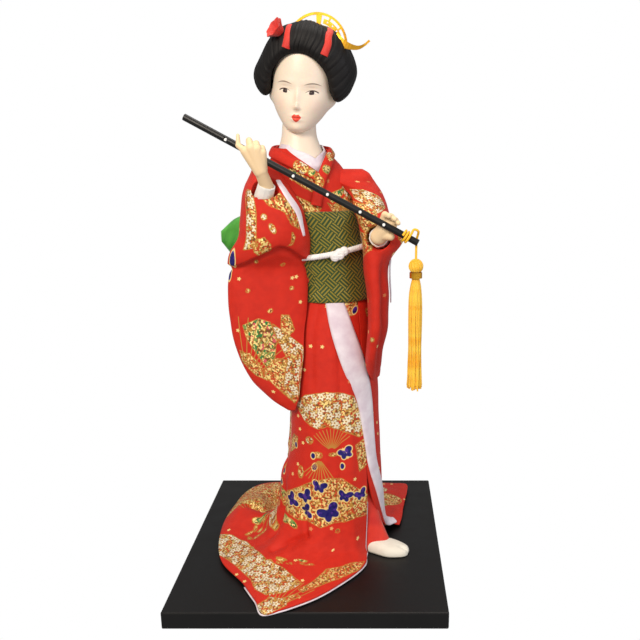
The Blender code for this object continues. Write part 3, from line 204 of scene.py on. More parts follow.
# Sum of eight plane waves in seeded directions, about -1 to 1, with waves about size long
def ripple(u, v, size, seed):
    draw = np.random.default_rng(seed)
    total = 0.0
    turns, phases = draw.uniform(0, math.pi, 8), draw.uniform(0, 6.28, 8)
    for turn, phase, stretch in zip(turns, phases, draw.uniform(0.7, 1.5, 8)):
        wave = (u * math.cos(turn) + v * math.sin(turn)) * 2 * math.pi / (size * stretch)
        total = total + np.sin(wave + phase)
    return total / 5


# Outward directions of a grid: cross product of its differences along columns and rows
def gridNormals(points, closed, flip=False):
    across = np.roll(points, -1, 1) - np.roll(points, 1, 1) if closed else np.gradient(points, axis=1)
    found = np.cross(across, np.gradient(points, axis=0))
    found = found / np.maximum(np.linalg.norm(found, axis=-1, keepdims=True), 1e-9)
    return -found if flip else found


# Flat cloth coordinates: arc length round each row from a middle column, and along that column
def clothMap(points, closed, middle=0):
    around = np.concatenate((points, points[:, :1]), 1) if closed else points
    steps = np.linalg.norm(np.diff(around, axis=1), axis=-1)
    u = np.concatenate((np.zeros((len(points), 1)), np.cumsum(steps, 1)), 1)
    down = np.linalg.norm(np.diff(points[:, middle], axis=0), axis=-1)
    v = np.concatenate(([0.0], np.cumsum(down)))
    return np.stack((u - u[:, middle : middle + 1], np.broadcast_to(v[:, None], u.shape)), -1)


# Signed distance in mm, positive inside, to the nearest of some drawn shapes: area (corners),
# spot (u, v, half width, half height, turn) and fan (u, v, inner, outer, aim, half angle)
def drawn(shapes, flat):
    best = np.full(flat.shape[:-1], -9.0)
    for kind, *values in shapes:
        if kind == "area":
            best = np.maximum(best, areaDistance(values[0], flat))
            continue
        cu, cv, a, b, *rest = values
        x, y = flat[..., 0] - cu, flat[..., 1] - cv
        if kind == "spot":
            c, s = math.cos(math.radians(rest[0])), math.sin(math.radians(rest[0]))
            near = (1 - np.hypot((x * c + y * s) / a, (y * c - x * s) / b)) * min(a, b)
        else:
            reach = np.hypot(x, y)
            away = np.abs((np.degrees(np.arctan2(y, x)) - rest[0] + 180) % 360 - 180)
            near = np.minimum(np.minimum(b - reach, reach - a), np.radians(rest[1] - away) * reach)
        best = np.maximum(best, near)
    return best


# Distance in mm to the edge of a polygon, positive inside (crossing number)
def areaDistance(corners, flat):
    u, v = flat[..., 0], flat[..., 1]
    near, inside = np.full(u.shape, 99.0), np.zeros(u.shape, bool)
    for (x0, y0), (x1, y1) in zip(corners, corners[1:] + corners[:1]):
        ex, ey = x1 - x0, y1 - y0
        share = np.clip(((u - x0) * ex + (v - y0) * ey) / (ex * ex + ey * ey + 1e-9), 0, 1)
        near = np.minimum(near, np.hypot(u - x0 - ex * share, v - y0 - ey * share))
        inside ^= ((y0 > v) != (y1 > v)) & (u < x0 + ex * (v - y0) / (ey or 1e-9))
    return np.where(inside, near, -near)


# Place in mm from the nearest fan's pin, along its aim and across it
def fanPlace(fans, flat):
    best, x, y = np.full(flat.shape[:-1], 1e9), np.zeros(flat.shape[:-1]), np.zeros(flat.shape[:-1])
    for _, cu, cv, _, outer, aim, _ in fans:
        du, dv = flat[..., 0] - cu, flat[..., 1] - cv
        c, s = math.cos(math.radians(aim)), math.sin(math.radians(aim))
        reach = np.hypot(du - c * outer / 2, dv - s * outer / 2)
        x, y = np.where(reach < best, du * c + dv * s, x), np.where(reach < best, dv * c - du * s, y)
        best = np.minimum(best, reach)
    return x, y


# A piece's pattern as vertex values: one distance a kind of filling, and the place in the nearest fan
def patternMarks(motifs, flat):
    marks = {key: drawn(motifs.get(key, ()), flat) for key in ("golden", "cream", "leafy", "navy", "ribs")}
    marks["fanX"], marks["fanY"] = fanPlace(motifs.get("ribs", ()), flat)
    return marks


# A butterfly as five spots: two wings a side and a body
def butterfly(u, v, size, turn):
    shapes = []
    for x, y, a, b, lean in (
        (-0.52, -0.3, 0.5, 0.4, 40),
        (0.52, -0.3, 0.5, 0.4, -40),
        (-0.34, 0.36, 0.3, 0.36, 20),
        (0.34, 0.36, 0.3, 0.36, -20),
        (0.0, 0.05, 0.14, 0.5, 0),
    ):
        c, s = math.cos(math.radians(turn)), math.sin(math.radians(turn))
        place = (u + size * (x * c - y * s), v + size * (x * s + y * c))
        shapes.append(("spot", *place, a * size, b * size, lean + turn))
    return shapes


# Puts a finished mesh or curve in the scene on the one body, in place of a CAD node where one is named
def addPiece(name, node, key, data):
    data.materials.append(looks[key])
    made = bpy.data.objects.new(name, data)
    bpy.context.scene.collection.objects.link(made)
    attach(made, "root")
    if node:
        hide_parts(node)
    return made


# Quads between neighbouring rows and columns of a grid whose vertices are numbered from start
def gridFaces(rows, cols, closed=True, start=0):
    index = np.arange(rows * cols).reshape(rows, cols) + start
    right = np.roll(index, -1, 1) if closed else index[:, 1:]
    left = index if closed else index[:, :-1]
    return np.stack((left[:-1], right[:-1], right[1:], left[1:]), -1).reshape(-1, 4).tolist()


# Cloth coordinates at the corners of those quads
def gridCorners(flat):
    return np.stack((flat[:-1, :-1], flat[:-1, 1:], flat[1:, 1:], flat[1:, :-1]), 2).reshape(-1, 2)


# A piece from a grid in mm, closed round its rows unless told; caps are fans to the middle of its
# first and last row, flat its cloth coordinates, marks its vertex values, thick its wall
def surface(name, node, key, points, closed=True, caps=False, flat=None, marks=None, thick=0.0):
    rows, cols = points.shape[:2]
    index = np.arange(rows * cols).reshape(rows, cols)
    faces = gridFaces(rows, cols, closed)
    verts = points.reshape(-1, 3) * mm
    flat = clothMap(points, closed) if flat is None else flat
    corners = gridCorners(flat)
    if caps:
        for row in (0, rows - 1):
            verts = np.concatenate((verts, points[row].mean(0)[None] * mm))
            ring = np.stack((index[row], np.roll(index[row], -1), np.full(cols, len(verts) - 1)), -1)
            faces += (ring[:, ::-1] if row == 0 else ring).tolist()
            edge = np.stack((flat[row, :-1], flat[row, 1:], np.broadcast_to(flat[row].mean(0), (cols, 2))), 1)
            corners = np.concatenate((corners, (edge[:, ::-1] if row == 0 else edge).reshape(-1, 2)))
    mesh = bpy.data.meshes.new(name)
    mesh.from_pydata(verts.tolist(), [], faces)
    layer = mesh.uv_layers.new(name="cloth")
    layer.data.foreach_set("uv", corners.ravel())
    for mark, values in (marks or {}).items():
        markValues = np.zeros(len(verts))
        markValues[: rows * cols] = np.broadcast_to(values, (rows, cols)).ravel()
        mesh.attributes.new(mark, "FLOAT", "POINT").data.foreach_set("value", markValues)
    mesh.shade_smooth()
    made = addPiece(name, node, key, mesh)
    if thick:
        cloth = made.modifiers.new("cloth", "SOLIDIFY")
        cloth.thickness = thick * mm
        cloth.offset = -1
    return made


# Rings round a line: each point plus radius * (side cos a + across sin a), with side carried along
def tubeRings(line, radius, sides):
    line = np.asarray(line, float)
    radius = np.broadcast_to(np.asarray(radius, float), (len(line),))
    tangents = unit(np.gradient(line, axis=0))
    side = np.cross(tangents[0], (0.3, 0.5, 0.81))
    _, c, s = roundTurns(sides)
    rings = []
    for p, t, r in zip(line, tangents, radius):
        side = unit(side - t * side.dot(t))
        rings.append(p + r * (np.outer(c, side) + np.outer(s, np.cross(t, side))))
    return np.array(rings)


# One piece from many closed grids, for strands
def strandPiece(name, node, key, grids):
    faces, start = [], 0
    for grid in grids:
        faces += gridFaces(*grid.shape[:2], start=start)
        start += grid.shape[0] * grid.shape[1]
    verts = np.concatenate([grid.reshape(-1, 3) for grid in grids]) * mm
    corners = np.concatenate([gridCorners(clothMap(grid, True)) for grid in grids])
    mesh = bpy.data.meshes.new(name)
    mesh.from_pydata(verts.tolist(), [], faces)
    mesh.uv_layers.new(name="cloth").data.foreach_set("uv", corners.ravel())
    mesh.shade_smooth()
    return addPiece(name, node, key, mesh)


# The dressed body's line, as in the frame: height, middle x and y, half width, half depth, turn
bodyLine = (
    (50.0, 9.5, 0.0, 29.0, 24.0, 0.0),
    (78.0, 10.5, 0.5, 26.5, 22.0, 4.0),
    (110.0, 10.5, 1.0, 25.5, 21.0, 8.0),
    (138.0, 10.5, 1.0, 23.5, 19.0, 10.0),
    (158.0, 12.5, 1.0, 19.0, 15.0, 14.0),
    (168.0, 12.5, 1.0, 18.0, 14.0, 16.0),
    (185.0, 10.5, 0.5, 18.8, 14.5, 18.0),
    (205.0, 5.5, 0.0, 21.0, 15.0, 20.0),
    (218.0, 0.5, 0.5, 23.5, 14.5, 22.0),
    (228.0, -2.0, 1.0, 20.0, 13.4, 22.0),
    (234.0, -3.5, 1.8, 16.0, 12.8, 22.0),
    (239.0, -4.0, 2.6, 13.2, 12.6, 20.0),
    (244.0, -4.0, 3.4, 12.4, 12.8, 20.0),
)
chestFront, neckFront = -67.0, -53.0


# Reach of an ellipse a, b in a direction: a b / hypot(b cos, a sin)
def bodyPoint(theta, z, lift=0.0):
    theta, z, lift = np.broadcast_arrays(np.asarray(theta, float), z, lift)
    row = curveAt(bodyLine, z)
    a, b = row[..., 2] + lift, row[..., 3] + lift
    local, turn = np.radians(theta - row[..., 4]), np.radians(theta)
    reach = a * b / np.hypot(b * np.cos(local), a * np.sin(local))
    return np.stack((row[..., 0] + reach * np.cos(turn), row[..., 1] + reach * np.sin(turn), z), -1)


# Points inside the dressed body move straight out to its surface plus lift
def pushOut(points, lift):
    row = curveAt(bodyLine, points[..., 2])
    dx, dy = points[..., 0] - row[..., 0], points[..., 1] - row[..., 1]
    theta = np.degrees(np.arctan2(dy, dx))
    wall = bodyPoint(theta, points[..., 2], lift)
    inner = np.hypot(dx, dy) < np.hypot(wall[..., 0] - row[..., 0], wall[..., 1] - row[..., 1])
    return np.where(inner[..., None], wall, points)


# Materials

# Weave height: product of two sine ribs, thread mm apart, plus slow noise; gives a bump node.
# A thread of 0.3 to 0.4 mm is coarser than real silk, so that it shows from a step away.
def weaveBump(tree, flat, thread, strength):
    scale = 2 * math.pi / thread
    turned = addNode(tree, "VectorMath", flat, (scale, scale, 0.0), operation="MULTIPLY")
    parts = addNode(tree, "SeparateXYZ", turned)
    ribs = addNode(tree, "Math", (parts, "X"), operation="SINE")
    rows = addNode(tree, "Math", (parts, "Y"), operation="SINE")
    height = addNode(tree, "Math", ribs, rows, operation="MULTIPLY")
    crease = addNode(tree, "TexNoise", flat, named={"Scale": 0.16, "Detail": 3.0})
    both = addNode(tree, "Math", height, 0.25, crease, operation="MULTIPLY_ADD")
    return addNode(tree, "Bump", strength, 0.00048, named={"Height": both})


# A new material with an empty tree
def startMaterial(name):
    look = bpy.data.materials.new(name)
    look.use_nodes = True
    tree = look.node_tree
    tree.nodes.clear()
    return look, tree


# Ends a tree in one shader; an input's name is given with _ for its spaces
def endMaterial(tree, **inputs):
    shader = addNode(tree, "BsdfPrincipled", named={k.replace("_", " "): v for k, v in inputs.items()})
    addNode(tree, "OutputMaterial", shader)


# Colours laid one over another: a step (value, low, high, tint) covers what is below it by
# (value - low) / (high - low), held between 0 and 1, times a last number where it has one
def layered(tree, base, *steps):
    for value, low, high, tint, *most in steps:
        mask = addNode(tree, "MapRange", value, low, high, 0.0, *(most or [1.0]))
        base = (addNode(tree, "Mix", named={0: mask, 6: base, 7: tint}, data_type="RGBA"), 2)
    return base


# Five petals round each cell's point: how far inside size (0.78 + 0.22 cos 5 angle), and the reach
def petals(tree, flat, cell, size):
    away = addNode(tree, "VectorMath", flat, (cell, "Position"), operation="SUBTRACT")
    part = addNode(tree, "SeparateXYZ", away)
    turn = addNode(tree, "Math", (part, "Y"), (part, "X"), operation="ARCTAN2")
    lobes = addNode(tree, "Math", addNode(tree, "Math", turn, 5.0, operation="MULTIPLY"), operation="COSINE")
    edge = addNode(tree, "Math", lobes, 0.22 * size, 0.78 * size, operation="MULTIPLY_ADD")
    reach = (addNode(tree, "VectorMath", away, operation="LENGTH"), "Value")
    return addNode(tree, "Math", edge, reach, operation="SUBTRACT"), reach


# Colours, then sizes in mm: cell of the blossoms, leaves, edge flecks, gold specks and scattered
# flowers, a scattered flower's radius, and the angle between two fan ribs in radians
brocadeValues = {
    "ground": "#DC2A10",
    "shade": "#C01C08",
    "cream": "#F1E4C4",
    "gold": "#BE8A38",
    # pale gold: the scattered flowers and the wings' outline, and also the colour of the painted glints
    "bright": "#F3D88A",
    "rust": "#C8451C",
    "brown": "#7A4A1C",
    "green": "#2F7D3C",
    "moss": "#7C9A4C",
    "pink": "#DC5560",
    "navy": "#15126A",
    "purple": "#4A2490",
    "blossom": 4.8,
    "leaf": 2.3,
    "fleck": 0.55,
    "speck": 0.8,
    "scatter": 7.0,
    "floret": 1.1,
    "ray": 0.157,
}


# Red figured silk (kimono brocade): drawn regions of cream blossoms on gold, of green and pink leaves,
# of gold thread and of navy wings, each edged in gold; flecks of gold lie scattered on the red
def brocadeLook(name, v):
    look, tree = startMaterial(name)
    flat = addNode(tree, "UVMap", uv_map="cloth")
    fine = addNode(tree, "TexNoise", flat, named={"Scale": 1 / v["fleck"], "Detail": 2.0, "Roughness": 0.6})
    broad = addNode(tree, "TexNoise", flat, named={"Scale": 0.22, "Detail": 3.0})
    cells, hues = {}, {}
    for key, spread in (("speck", 1.0), ("blossom", 0.85), ("leaf", 1.0), ("scatter", 1.0)):
        named = {"Scale": 1 / v[key], "Randomness": spread}
        cells[key] = addNode(tree, "TexVoronoi", flat, named=named, voronoi_dimensions="2D")
        hues[key] = addNode(tree, "SeparateColor", (cells[key], "Color"))

    # Gold threads: short specks of four tones; the brightest are painted highlights, a pale glint colour painted
    # in, and inside the drawn regions they are also metallic and smoother
    paintedGlint = addNode(tree, "MapRange", (hues["speck"], "Green"), 0.64, 0.68, 0.0, 1.0)
    golden = layered(
        tree,
        v["gold"],
        ((hues["speck"], "Red"), 0.43, 0.47, v["rust"]),
        ((hues["speck"], "Blue"), 0.76, 0.8, v["brown"]),
        (paintedGlint, 0.0, 1.0, v["bright"]),
    )
    rest, reach = petals(tree, flat, cells["blossom"], v["blossom"] * 0.5)
    eye = addNode(tree, "Math", reach, 0.5, operation="LESS_THAN")
    cream = layered(tree, golden, (rest, -0.2, 0.0, v["brown"]), (rest, 0.12, 0.32, v["cream"]))
    cream = layered(tree, cream, (eye, 0.0, 1.0, v["gold"]))
    leafy = layered(
        tree,
        v["green"],
        ((hues["leaf"], "Red"), 0.38, 0.42, v["moss"]),
        ((hues["leaf"], "Red"), 0.58, 0.62, v["gold"]),
        ((hues["leaf"], "Red"), 0.82, 0.86, v["pink"]),
        ((cells["leaf"], "Distance"), 0.45, 0.55, v["brown"]),
        # painted highlight: the same pale glints painted onto the leaves
        (paintedGlint, 0.0, 1.0, v["bright"]),
    )

    # One cell in six of the plain red holds a small gold flower
    rest, reach = petals(tree, flat, cells["scatter"], v["floret"])
    inside = addNode(tree, "MapRange", rest, -0.1, 0.1, 0.0, 1.0)
    chosen = addNode(tree, "MapRange", (hues["scatter"], "Green"), 0.83, 0.85, 0.0, 1.0)
    few = addNode(tree, "Math", inside, chosen, operation="MULTIPLY")
    colour = layered(tree, v["ground"], (broad, 0.0, 1.0, v["shade"]), (few, 0.0, 1.0, v["bright"]))

    # The drawn regions, each with a ragged gold edge round its filling
    edges = {}
    ragged = addNode(tree, "Math", fine, 1.6, -0.8, operation="MULTIPLY_ADD")
    for key, filling, rough in (("golden", golden, 1.0), ("cream", cream, 0.7), ("leafy", leafy, 0.7)):
        distance = (addNode(tree, "Attribute", attribute_name=key), "Fac")
        distance = addNode(tree, "Math", ragged, rough, distance, operation="MULTIPLY_ADD")
        edges[key] = addNode(tree, "MapRange", distance, -0.1, 0.1, 0.0, 1.0)
        colour = layered(tree, colour, (edges[key], 0.0, 1.0, v["gold"]), (distance, 0.25, 0.45, filling))
    distance = (addNode(tree, "Attribute", attribute_name="navy"), "Fac")
    hueNoise = addNode(tree, "TexNoise", flat, named={"Scale": 0.3})
    wings = layered(tree, v["navy"], (hueNoise, 0.53, 0.59, v["purple"]))
    colour = layered(tree, colour, (distance, -0.45, -0.25, v["bright"]), (distance, 0.0, 0.2, wings))

    # Fan ribs: rays from the pin at equal angles, drawn where reach * angle to the nearest is small
    pinX, pinY = [(addNode(tree, "Attribute", attribute_name=key), "Fac") for key in ("fanX", "fanY")]
    turn = addNode(tree, "Math", pinY, pinX, operation="ARCTAN2")
    ray = addNode(tree, "Math", turn, 1 / v["ray"], operation="MULTIPLY")
    ray = addNode(tree, "Math", ray, operation="FRACT")
    ray = addNode(tree, "Math", addNode(tree, "Math", ray, 0.5, operation="SUBTRACT"), operation="ABSOLUTE")
    pin = addNode(tree, "VectorMath", addNode(tree, "CombineXYZ", pinX, pinY), operation="LENGTH")
    ray = addNode(tree, "Math", ray, (pin, "Value"), operation="MULTIPLY")
    ray = addNode(tree, "MapRange", ray, 0.16 / v["ray"], 0.26 / v["ray"], 1.0, 0.0)
    inFan = (addNode(tree, "Attribute", attribute_name="ribs"), "Fac")
    inFan = addNode(tree, "MapRange", inFan, -0.15, 0.15, 0.0, 1.0)
    ribs = addNode(tree, "Math", inFan, ray, operation="MULTIPLY")
    colour = layered(tree, colour, (ribs, 0.0, 1.0, v["gold"]))

    # The painted glints inside the drawn regions are also made metallic and smoother
    metal = addNode(tree, "Math", edges["golden"], edges["cream"], operation="MAXIMUM")
    metal = addNode(tree, "Math", metal, edges["leafy"], operation="MAXIMUM")
    metal = addNode(tree, "Math", metal, paintedGlint, operation="MULTIPLY")
    endMaterial(
        tree,
        Base_Color=colour,
        Roughness=addNode(tree, "MapRange", metal, 0.0, 1.0, 0.55, 0.3),
        Metallic=addNode(tree, "Math", metal, 0.5, operation="MULTIPLY"),
        Specular_IOR_Level=0.3,
        Sheen_Weight=0.03,
        Normal=weaveBump(tree, flat, 0.42, 0.5),
    )
    return look


# Woven cloths: darker tone, lighter tone, roughness, strength of the weave
satinValues = {
    "lining": ("#DCCBD6", "#EFE6EC", 0.36, 0.35),  # lilac silk satin, smooth and a little shiny
    "robe": ("#CF1F0F", "#E23218", 0.5, 0.35),  # plain red silk
    "cotton": ("#E9E6DF", "#F7F5F0", 0.8, 0.5),  # white cotton, matt
    "ribbon": ("#C81E10", "#E03520", 0.5, 0.3),  # red crepe ribbon
    "innerGreen": ("#2C8A22", "#4CAA34", 0.45, 0.35),  # green satin inside the bow
    "padding": ("#B9AE98", "#D6CDBA", 0.9, 0.6),  # undyed wadding cloth
    "silk": ("#F7AE12", "#FFD544", 0.4, 0.3),  # yellow silk floss
    "cord": ("#D9D5D2", "#FAF8F6", 0.7, 0.35),  # white silk cord
}


# Plain woven cloth: two tones by slow noise, fine weave in the bump, soft light at its edges
def satinLook(name, values):
    low, high, rough, amount = values
    look, tree = startMaterial(name)
    flat = addNode(tree, "UVMap", uv_map="cloth")
    noise = addNode(tree, "TexNoise", flat, named={"Scale": 0.12, "Detail": 4.0})
    endMaterial(
        tree,
        Base_Color=layered(tree, low, (noise, 0.35, 0.65, high)),
        Roughness=addNode(tree, "MapRange", noise, 0.3, 0.7, rough - 0.06, rough + 0.06),
        Sheen_Weight=0.3,
        Sheen_Roughness=0.4,
        Normal=weaveBump(tree, flat, 0.3, amount),
    )
    return look


# Side of a square in mm, gold lines a square, slant in degrees, colours
obiValues = {
    "block": 5.2,
    "lines": 3.0,
    "turn": 45.0,
    "green": "#10340B",
    "moss": "#2B490D",
    "gold": "#948327",
}


# Green sash brocade (obi): squares on the slant, ruled across and along by turns, like woven splints;
# square (i, j) = floor(turned / block), a line runs where fraction(x or y * lines) is near one half
def obiLook(name, v):
    look, tree = startMaterial(name)
    flat = addNode(tree, "UVMap", uv_map="cloth")
    angle = {"Angle": math.radians(v["turn"])}
    turned = addNode(tree, "VectorRotate", flat, named=angle, rotation_type="Z_AXIS")
    scaled = addNode(tree, "VectorMath", turned, (1 / v["block"], 1 / v["block"], 0.0), operation="MULTIPLY")
    part = addNode(tree, "SeparateXYZ", scaled)
    floors = [addNode(tree, "Math", (part, axis), operation="FLOOR") for axis in ("X", "Y")]
    total = addNode(tree, "Math", *floors, operation="ADD")
    half = addNode(tree, "Math", total, 0.5, operation="MULTIPLY")
    half = addNode(tree, "Math", half, operation="FRACT")
    odd = addNode(tree, "Math", half, 0.25, operation="GREATER_THAN")
    chosen = addNode(tree, "Mix", named={0: odd, 2: (part, "X"), 3: (part, "Y")}, data_type="FLOAT")
    rule = addNode(tree, "Math", chosen, v["lines"], operation="MULTIPLY")
    rule = addNode(tree, "Math", rule, operation="FRACT")
    rule = addNode(tree, "Math", addNode(tree, "Math", rule, 0.5, operation="SUBTRACT"), operation="ABSOLUTE")
    line = addNode(tree, "MapRange", rule, 0.16, 0.26, 1.0, 0.0)
    noise = addNode(tree, "TexNoise", flat, named={"Scale": 0.35, "Detail": 3.0})
    colour = layered(tree, v["green"], (noise, 0.0, 1.0, v["moss"]), (line, 0.0, 1.0, v["gold"]))
    endMaterial(
        tree,
        Base_Color=colour,
        Roughness=addNode(tree, "MapRange", line, 0.0, 1.0, 0.6, 0.36),
        Metallic=addNode(tree, "Math", line, 0.35, operation="MULTIPLY"),
        Sheen_Weight=0.15,
        Normal=addNode(tree, "Bump", 0.5, 0.0002, named={"Height": line}),
    )
    return look


# Hard finishes: darker tone, lighter tone, roughness, metal, grains a metre, strength of the relief
hardValues = {
    "lacquer": ("#060505", "#0B0909", 0.45, 0.0, 900.0, 0.02),  # black lacquered board
    "flute": ("#0B0B0C", "#161515", 0.4, 0.0, 900.0, 0.02),  # black painted tube
    "gilt": ("#C98A1E", "#F0B93A", 0.3, 0.85, 1800.0, 0.12),  # stamped gilt brass
    "wood": ("#A98250", "#C9A36C", 0.7, 0.0, 700.0, 0.3),  # bare softwood
    "wire": ("#8A8A8A", "#B5B5B5", 0.4, 1.0, 900.0, 0.05),  # steel wire
    "stud": ("#E9E9E4", "#FFFFFF", 0.25, 0.0, 900.0, 0.02),  # white enamel dots
    "hand": ("#E5C59B", "#F0D6AC", 0.5, 0.0, 500.0, 0.03),  # moulded vinyl skin
    "sock": ("#D9D3C2", "#EDE9DC", 0.75, 0.0, 2600.0, 0.25),  # cream cotton sock
    "silkCord": ("#F0A80E", "#FFD03A", 0.5, 0.0, 2600.0, 0.5),  # yellow silk; a cord has no cloth map
}


# Finish in Object coordinates, in metres: two tones by broad noise, relief by noise of one grain
def hardLook(name, values):
    low, high, rough, metal, scale, relief = values
    look, tree = startMaterial(name)
    place = addNode(tree, "TexCoord")
    noise = addNode(tree, "TexNoise", (place, "Object"), named={"Scale": scale / 10, "Detail": 4.0})
    fine = addNode(tree, "TexNoise", (place, "Object"), named={"Scale": scale, "Detail": 2.0})
    endMaterial(
        tree,
        Base_Color=layered(tree, low, (noise, 0.0, 1.0, high)),
        Roughness=addNode(tree, "MapRange", noise, 0.3, 0.7, rough - 0.05, rough + 0.08),
        Metallic=metal,
        Specular_IOR_Level=0.35,
        Normal=addNode(tree, "Bump", relief, 0.0002, named={"Height": fine}),
    )
    return look


# Black silk hair: two tones, width of a lock in mm, roughness
hairValues = {"dark": "#040303", "light": "#140E0D", "strand": 0.22, "rough": 0.5}


# Combed black hair: noise drawn out along the comb lines for tone, roughness and bump
def hairLook(name, v):
    look, tree = startMaterial(name)
    flat = addNode(tree, "UVMap", uv_map="cloth")
    drawnOut = addNode(tree, "VectorMath", flat, (1 / v["strand"], 0.02, 0.0), operation="MULTIPLY")
    strands = addNode(tree, "TexNoise", drawnOut, named={"Scale": 1.0, "Detail": 3.0, "Distortion": 0.2})
    endMaterial(
        tree,
        Base_Color=layered(tree, v["dark"], (strands, 0.4, 0.75, v["light"])),
        Roughness=addNode(tree, "MapRange", strands, 0.3, 0.7, v["rough"], v["rough"] + 0.22),
        Specular_IOR_Level=0.3,
        Normal=addNode(tree, "Bump", 0.4, 0.0003, named={"Height": strands}),
    )
    return look


faceValues = {
    "skin": "#E6D3BD",
    "warm": "#EBDCC9",
    "blush": "#E2B2A0",
    "lip": "#E04A34",
    "brow": "#6B5244",
    "ink": "#3B241C",
    "white": "#E9DCCC",
    "iris": "#2E1712",
}


# Painted face on a moulded plaster head: each feature shows where its vertex distance is above zero
def faceLook(name, v):
    look, tree = startMaterial(name)
    place = addNode(tree, "TexCoord")
    noise = addNode(tree, "TexNoise", (place, "Object"), named={"Scale": 60.0, "Detail": 2.0})
    colour = layered(tree, v["skin"], (noise, 0.0, 1.0, v["warm"]))
    for key, tint, low, high, most in (
        ("blush", "blush", 0.0, 1.0, 0.28),
        ("lip", "lip", -0.12, 0.12, 1.0),
        ("brow", "brow", -0.1, 0.16, 0.85),
        ("white", "white", -0.06, 0.06, 1.0),
        ("iris", "iris", -0.06, 0.06, 1.0),
        ("lash", "ink", -0.06, 0.1, 1.0),
        # painted highlight in each eye, in the eye-white colour
        ("paintedGlint", "white", -0.05, 0.05, 0.9),
    ):
        mark = (addNode(tree, "Attribute", attribute_name=key), "Fac")
        colour = layered(tree, colour, (mark, low, high, v[tint], most))
    endMaterial(
        tree,
        Base_Color=colour,
        Roughness=0.42,
        Subsurface_Weight=0.08,
        Subsurface_Scale=0.002,
        Normal=addNode(tree, "Bump", 0.04, 0.0002, named={"Height": noise}),
    )
    return look


looks = {
    "brocade": brocadeLook("kimonoBrocade", brocadeValues),
    "obi": obiLook("obiBrocade", obiValues),
    "hair": hairLook("combedHair", hairValues),
    "face": faceLook("paintedFace", faceValues),
}
for key, values in satinValues.items():
    looks[key] = satinLook(key + "Cloth", values)
for key, values in hardValues.items():
    looks[key] = hardLook(key + "Finish", values)
for node, key in (
    ("base_board", "lacquer"),
    ("post_left", "wood"),
    ("post_right", "wood"),
    ("arm_wire_left", "wire"),
    ("arm_wire_right", "wire"),
    ("torso_padding", "padding"),
    ("hair_comb", "gilt"),
    ("hair_pin", "gilt"),
    ("tassel_band", "gilt"),
    ("flute", "flute"),
    *((f"flute_stud_{i}", "stud") for i in range(1, 6)),
):
    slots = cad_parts[node].material_slots
    for place in slots:
        place.link = "OBJECT"
        place.material = looks[key]
print("stage: materials")


# Tassel: cord first, then its knob and skirt of threads; its band is the CAD part in gilt

tasselValues = {
    "fluteLeft": (-57.2, -28.0, 252.1),
    "fluteRight": (56.8, -36.0, 191.8),
    "fluteRadius": 1.7,
    "cordRadius": 0.6,
    "place": 0.935,
    "turns": 2.25,
    "middle": (56.0, -34.2),
    "top": 183.4,
    "neck": 177.2,
    "shoulder": 173.6,
    "bottom": 115.0,
    "cordEnd": 167.5,
    "strands": 120,
}


# The route in the frame: turns round the flute, a small loop, then straight down into the tassel
def tasselRoute(v):
    left, right = np.array(v["fluteLeft"]), np.array(v["fluteRight"])
    line = unit(right - left)
    start = left + (right - left) * v["place"]
    across = unit(np.cross(line, (0, 0, 1)))
    up = np.cross(across, line)
    ring = v["fluteRadius"] + v["cordRadius"] + gap
    count = int(v["turns"] * 12) + 1
    a = 2 * math.pi * np.arange(count)[:, None] / 12
    pitch = 2 * v["cordRadius"] + 0.3
    turns = start + line * (pitch * a / (2 * math.pi)) + (across * np.cos(a) + up * np.sin(a)) * ring
    top, (x, y) = turns[-1], v["middle"]
    bends = [turns[-2], top, top + (1.2, 0.4, 1.9), top + (3.4, 0.8, 0.8)]
    bends += [(x + 0.3, y + 2.0, 193.0), (x, y, 187.0), (x, y, 178.0), (x, y, v["cordEnd"])]
    return np.concatenate((turns[:-2], smoothLine(bends, 22)))


# A round cord on the route, a knob of rings with a twist of 0.16 sin(14 a + 1.1 (z - 180)), and threads
# that hang from the knob's neck
def makeTassel(v):
    route = tasselRoute(v)
    curve = bpy.data.curves.new("tasselCord", "CURVE")
    curve.dimensions = "3D"
    curve.bevel_depth = v["cordRadius"] * mm
    curve.bevel_resolution = 4
    curve.use_fill_caps = True
    spline = curve.splines.new("POLY")
    spline.points.add(len(route) - 1)
    spline.points.foreach_set("co", np.column_stack((route * mm, np.ones(len(route)))).ravel())
    rope = addPiece("tasselCord", "tassel_cord", "silkCord", curve)
    x, y = v["middle"]

    knobLine = [(v["top"] + 0.1, 1.3), (182.6, 2.5), (181.2, 3.35), (179.6, 3.6)]
    knobLine += [(178.2, 3.2), (v["neck"], 2.5)]
    z = np.linspace(knobLine[0][0], knobLine[-1][0], 40)
    radius = curveAt([(-a, b) for a, b in knobLine], -z)[:, 0]
    angle, c, s = roundTurns(96)
    twist = np.sin(14 * angle[None] + (z[:, None] - 180) * 1.1)
    reach = radius[:, None] + 0.16 * twist
    points = joined(x + reach * c, y + reach * s, z[:, None])
    knob = surface("tasselKnob", "tassel_knob", "silk", points[::-1], caps=True)

    draw = np.random.default_rng(11)
    grids = []
    z = np.array([v["neck"] - 0.4, v["shoulder"] + 0.2, 170.0, 165.0, 158.0, 148.0, 138.0, 128.0, 121.0, 0.0])
    envelope = np.array([1.9, 2.1, 2.9, 3.5, 3.7, 3.7, 3.6, 3.8, 4.1, 4.3])
    for i in range(v["strands"]):
        a = 2 * math.pi * (i * 0.618034) + draw.normal(0, 0.05)
        share = 0.55 + 0.45 * math.sqrt((i % 24 + 1) / 24)
        heights = z.copy()
        heights[-1] = v["bottom"] + draw.uniform(0.0, 3.2)
        sway = np.cumsum(draw.normal(0, 0.09, len(z)))
        reach = (envelope - 0.55) * share + np.cumsum(draw.normal(0, 0.05, len(z)))
        reach = np.clip(reach, 0.6, envelope - 0.4)
        line = np.stack((x + reach * np.cos(a + sway), y + reach * np.sin(a + sway), heights), -1)
        grids.append(tubeRings(smoothLine(line, 26), 0.42, 5))
    skirt = strandPiece("tasselThreads", "tassel_skirt", "silk", grids)


makeTassel(tasselValues)
print("stage: tassel")


# Skirt with its train

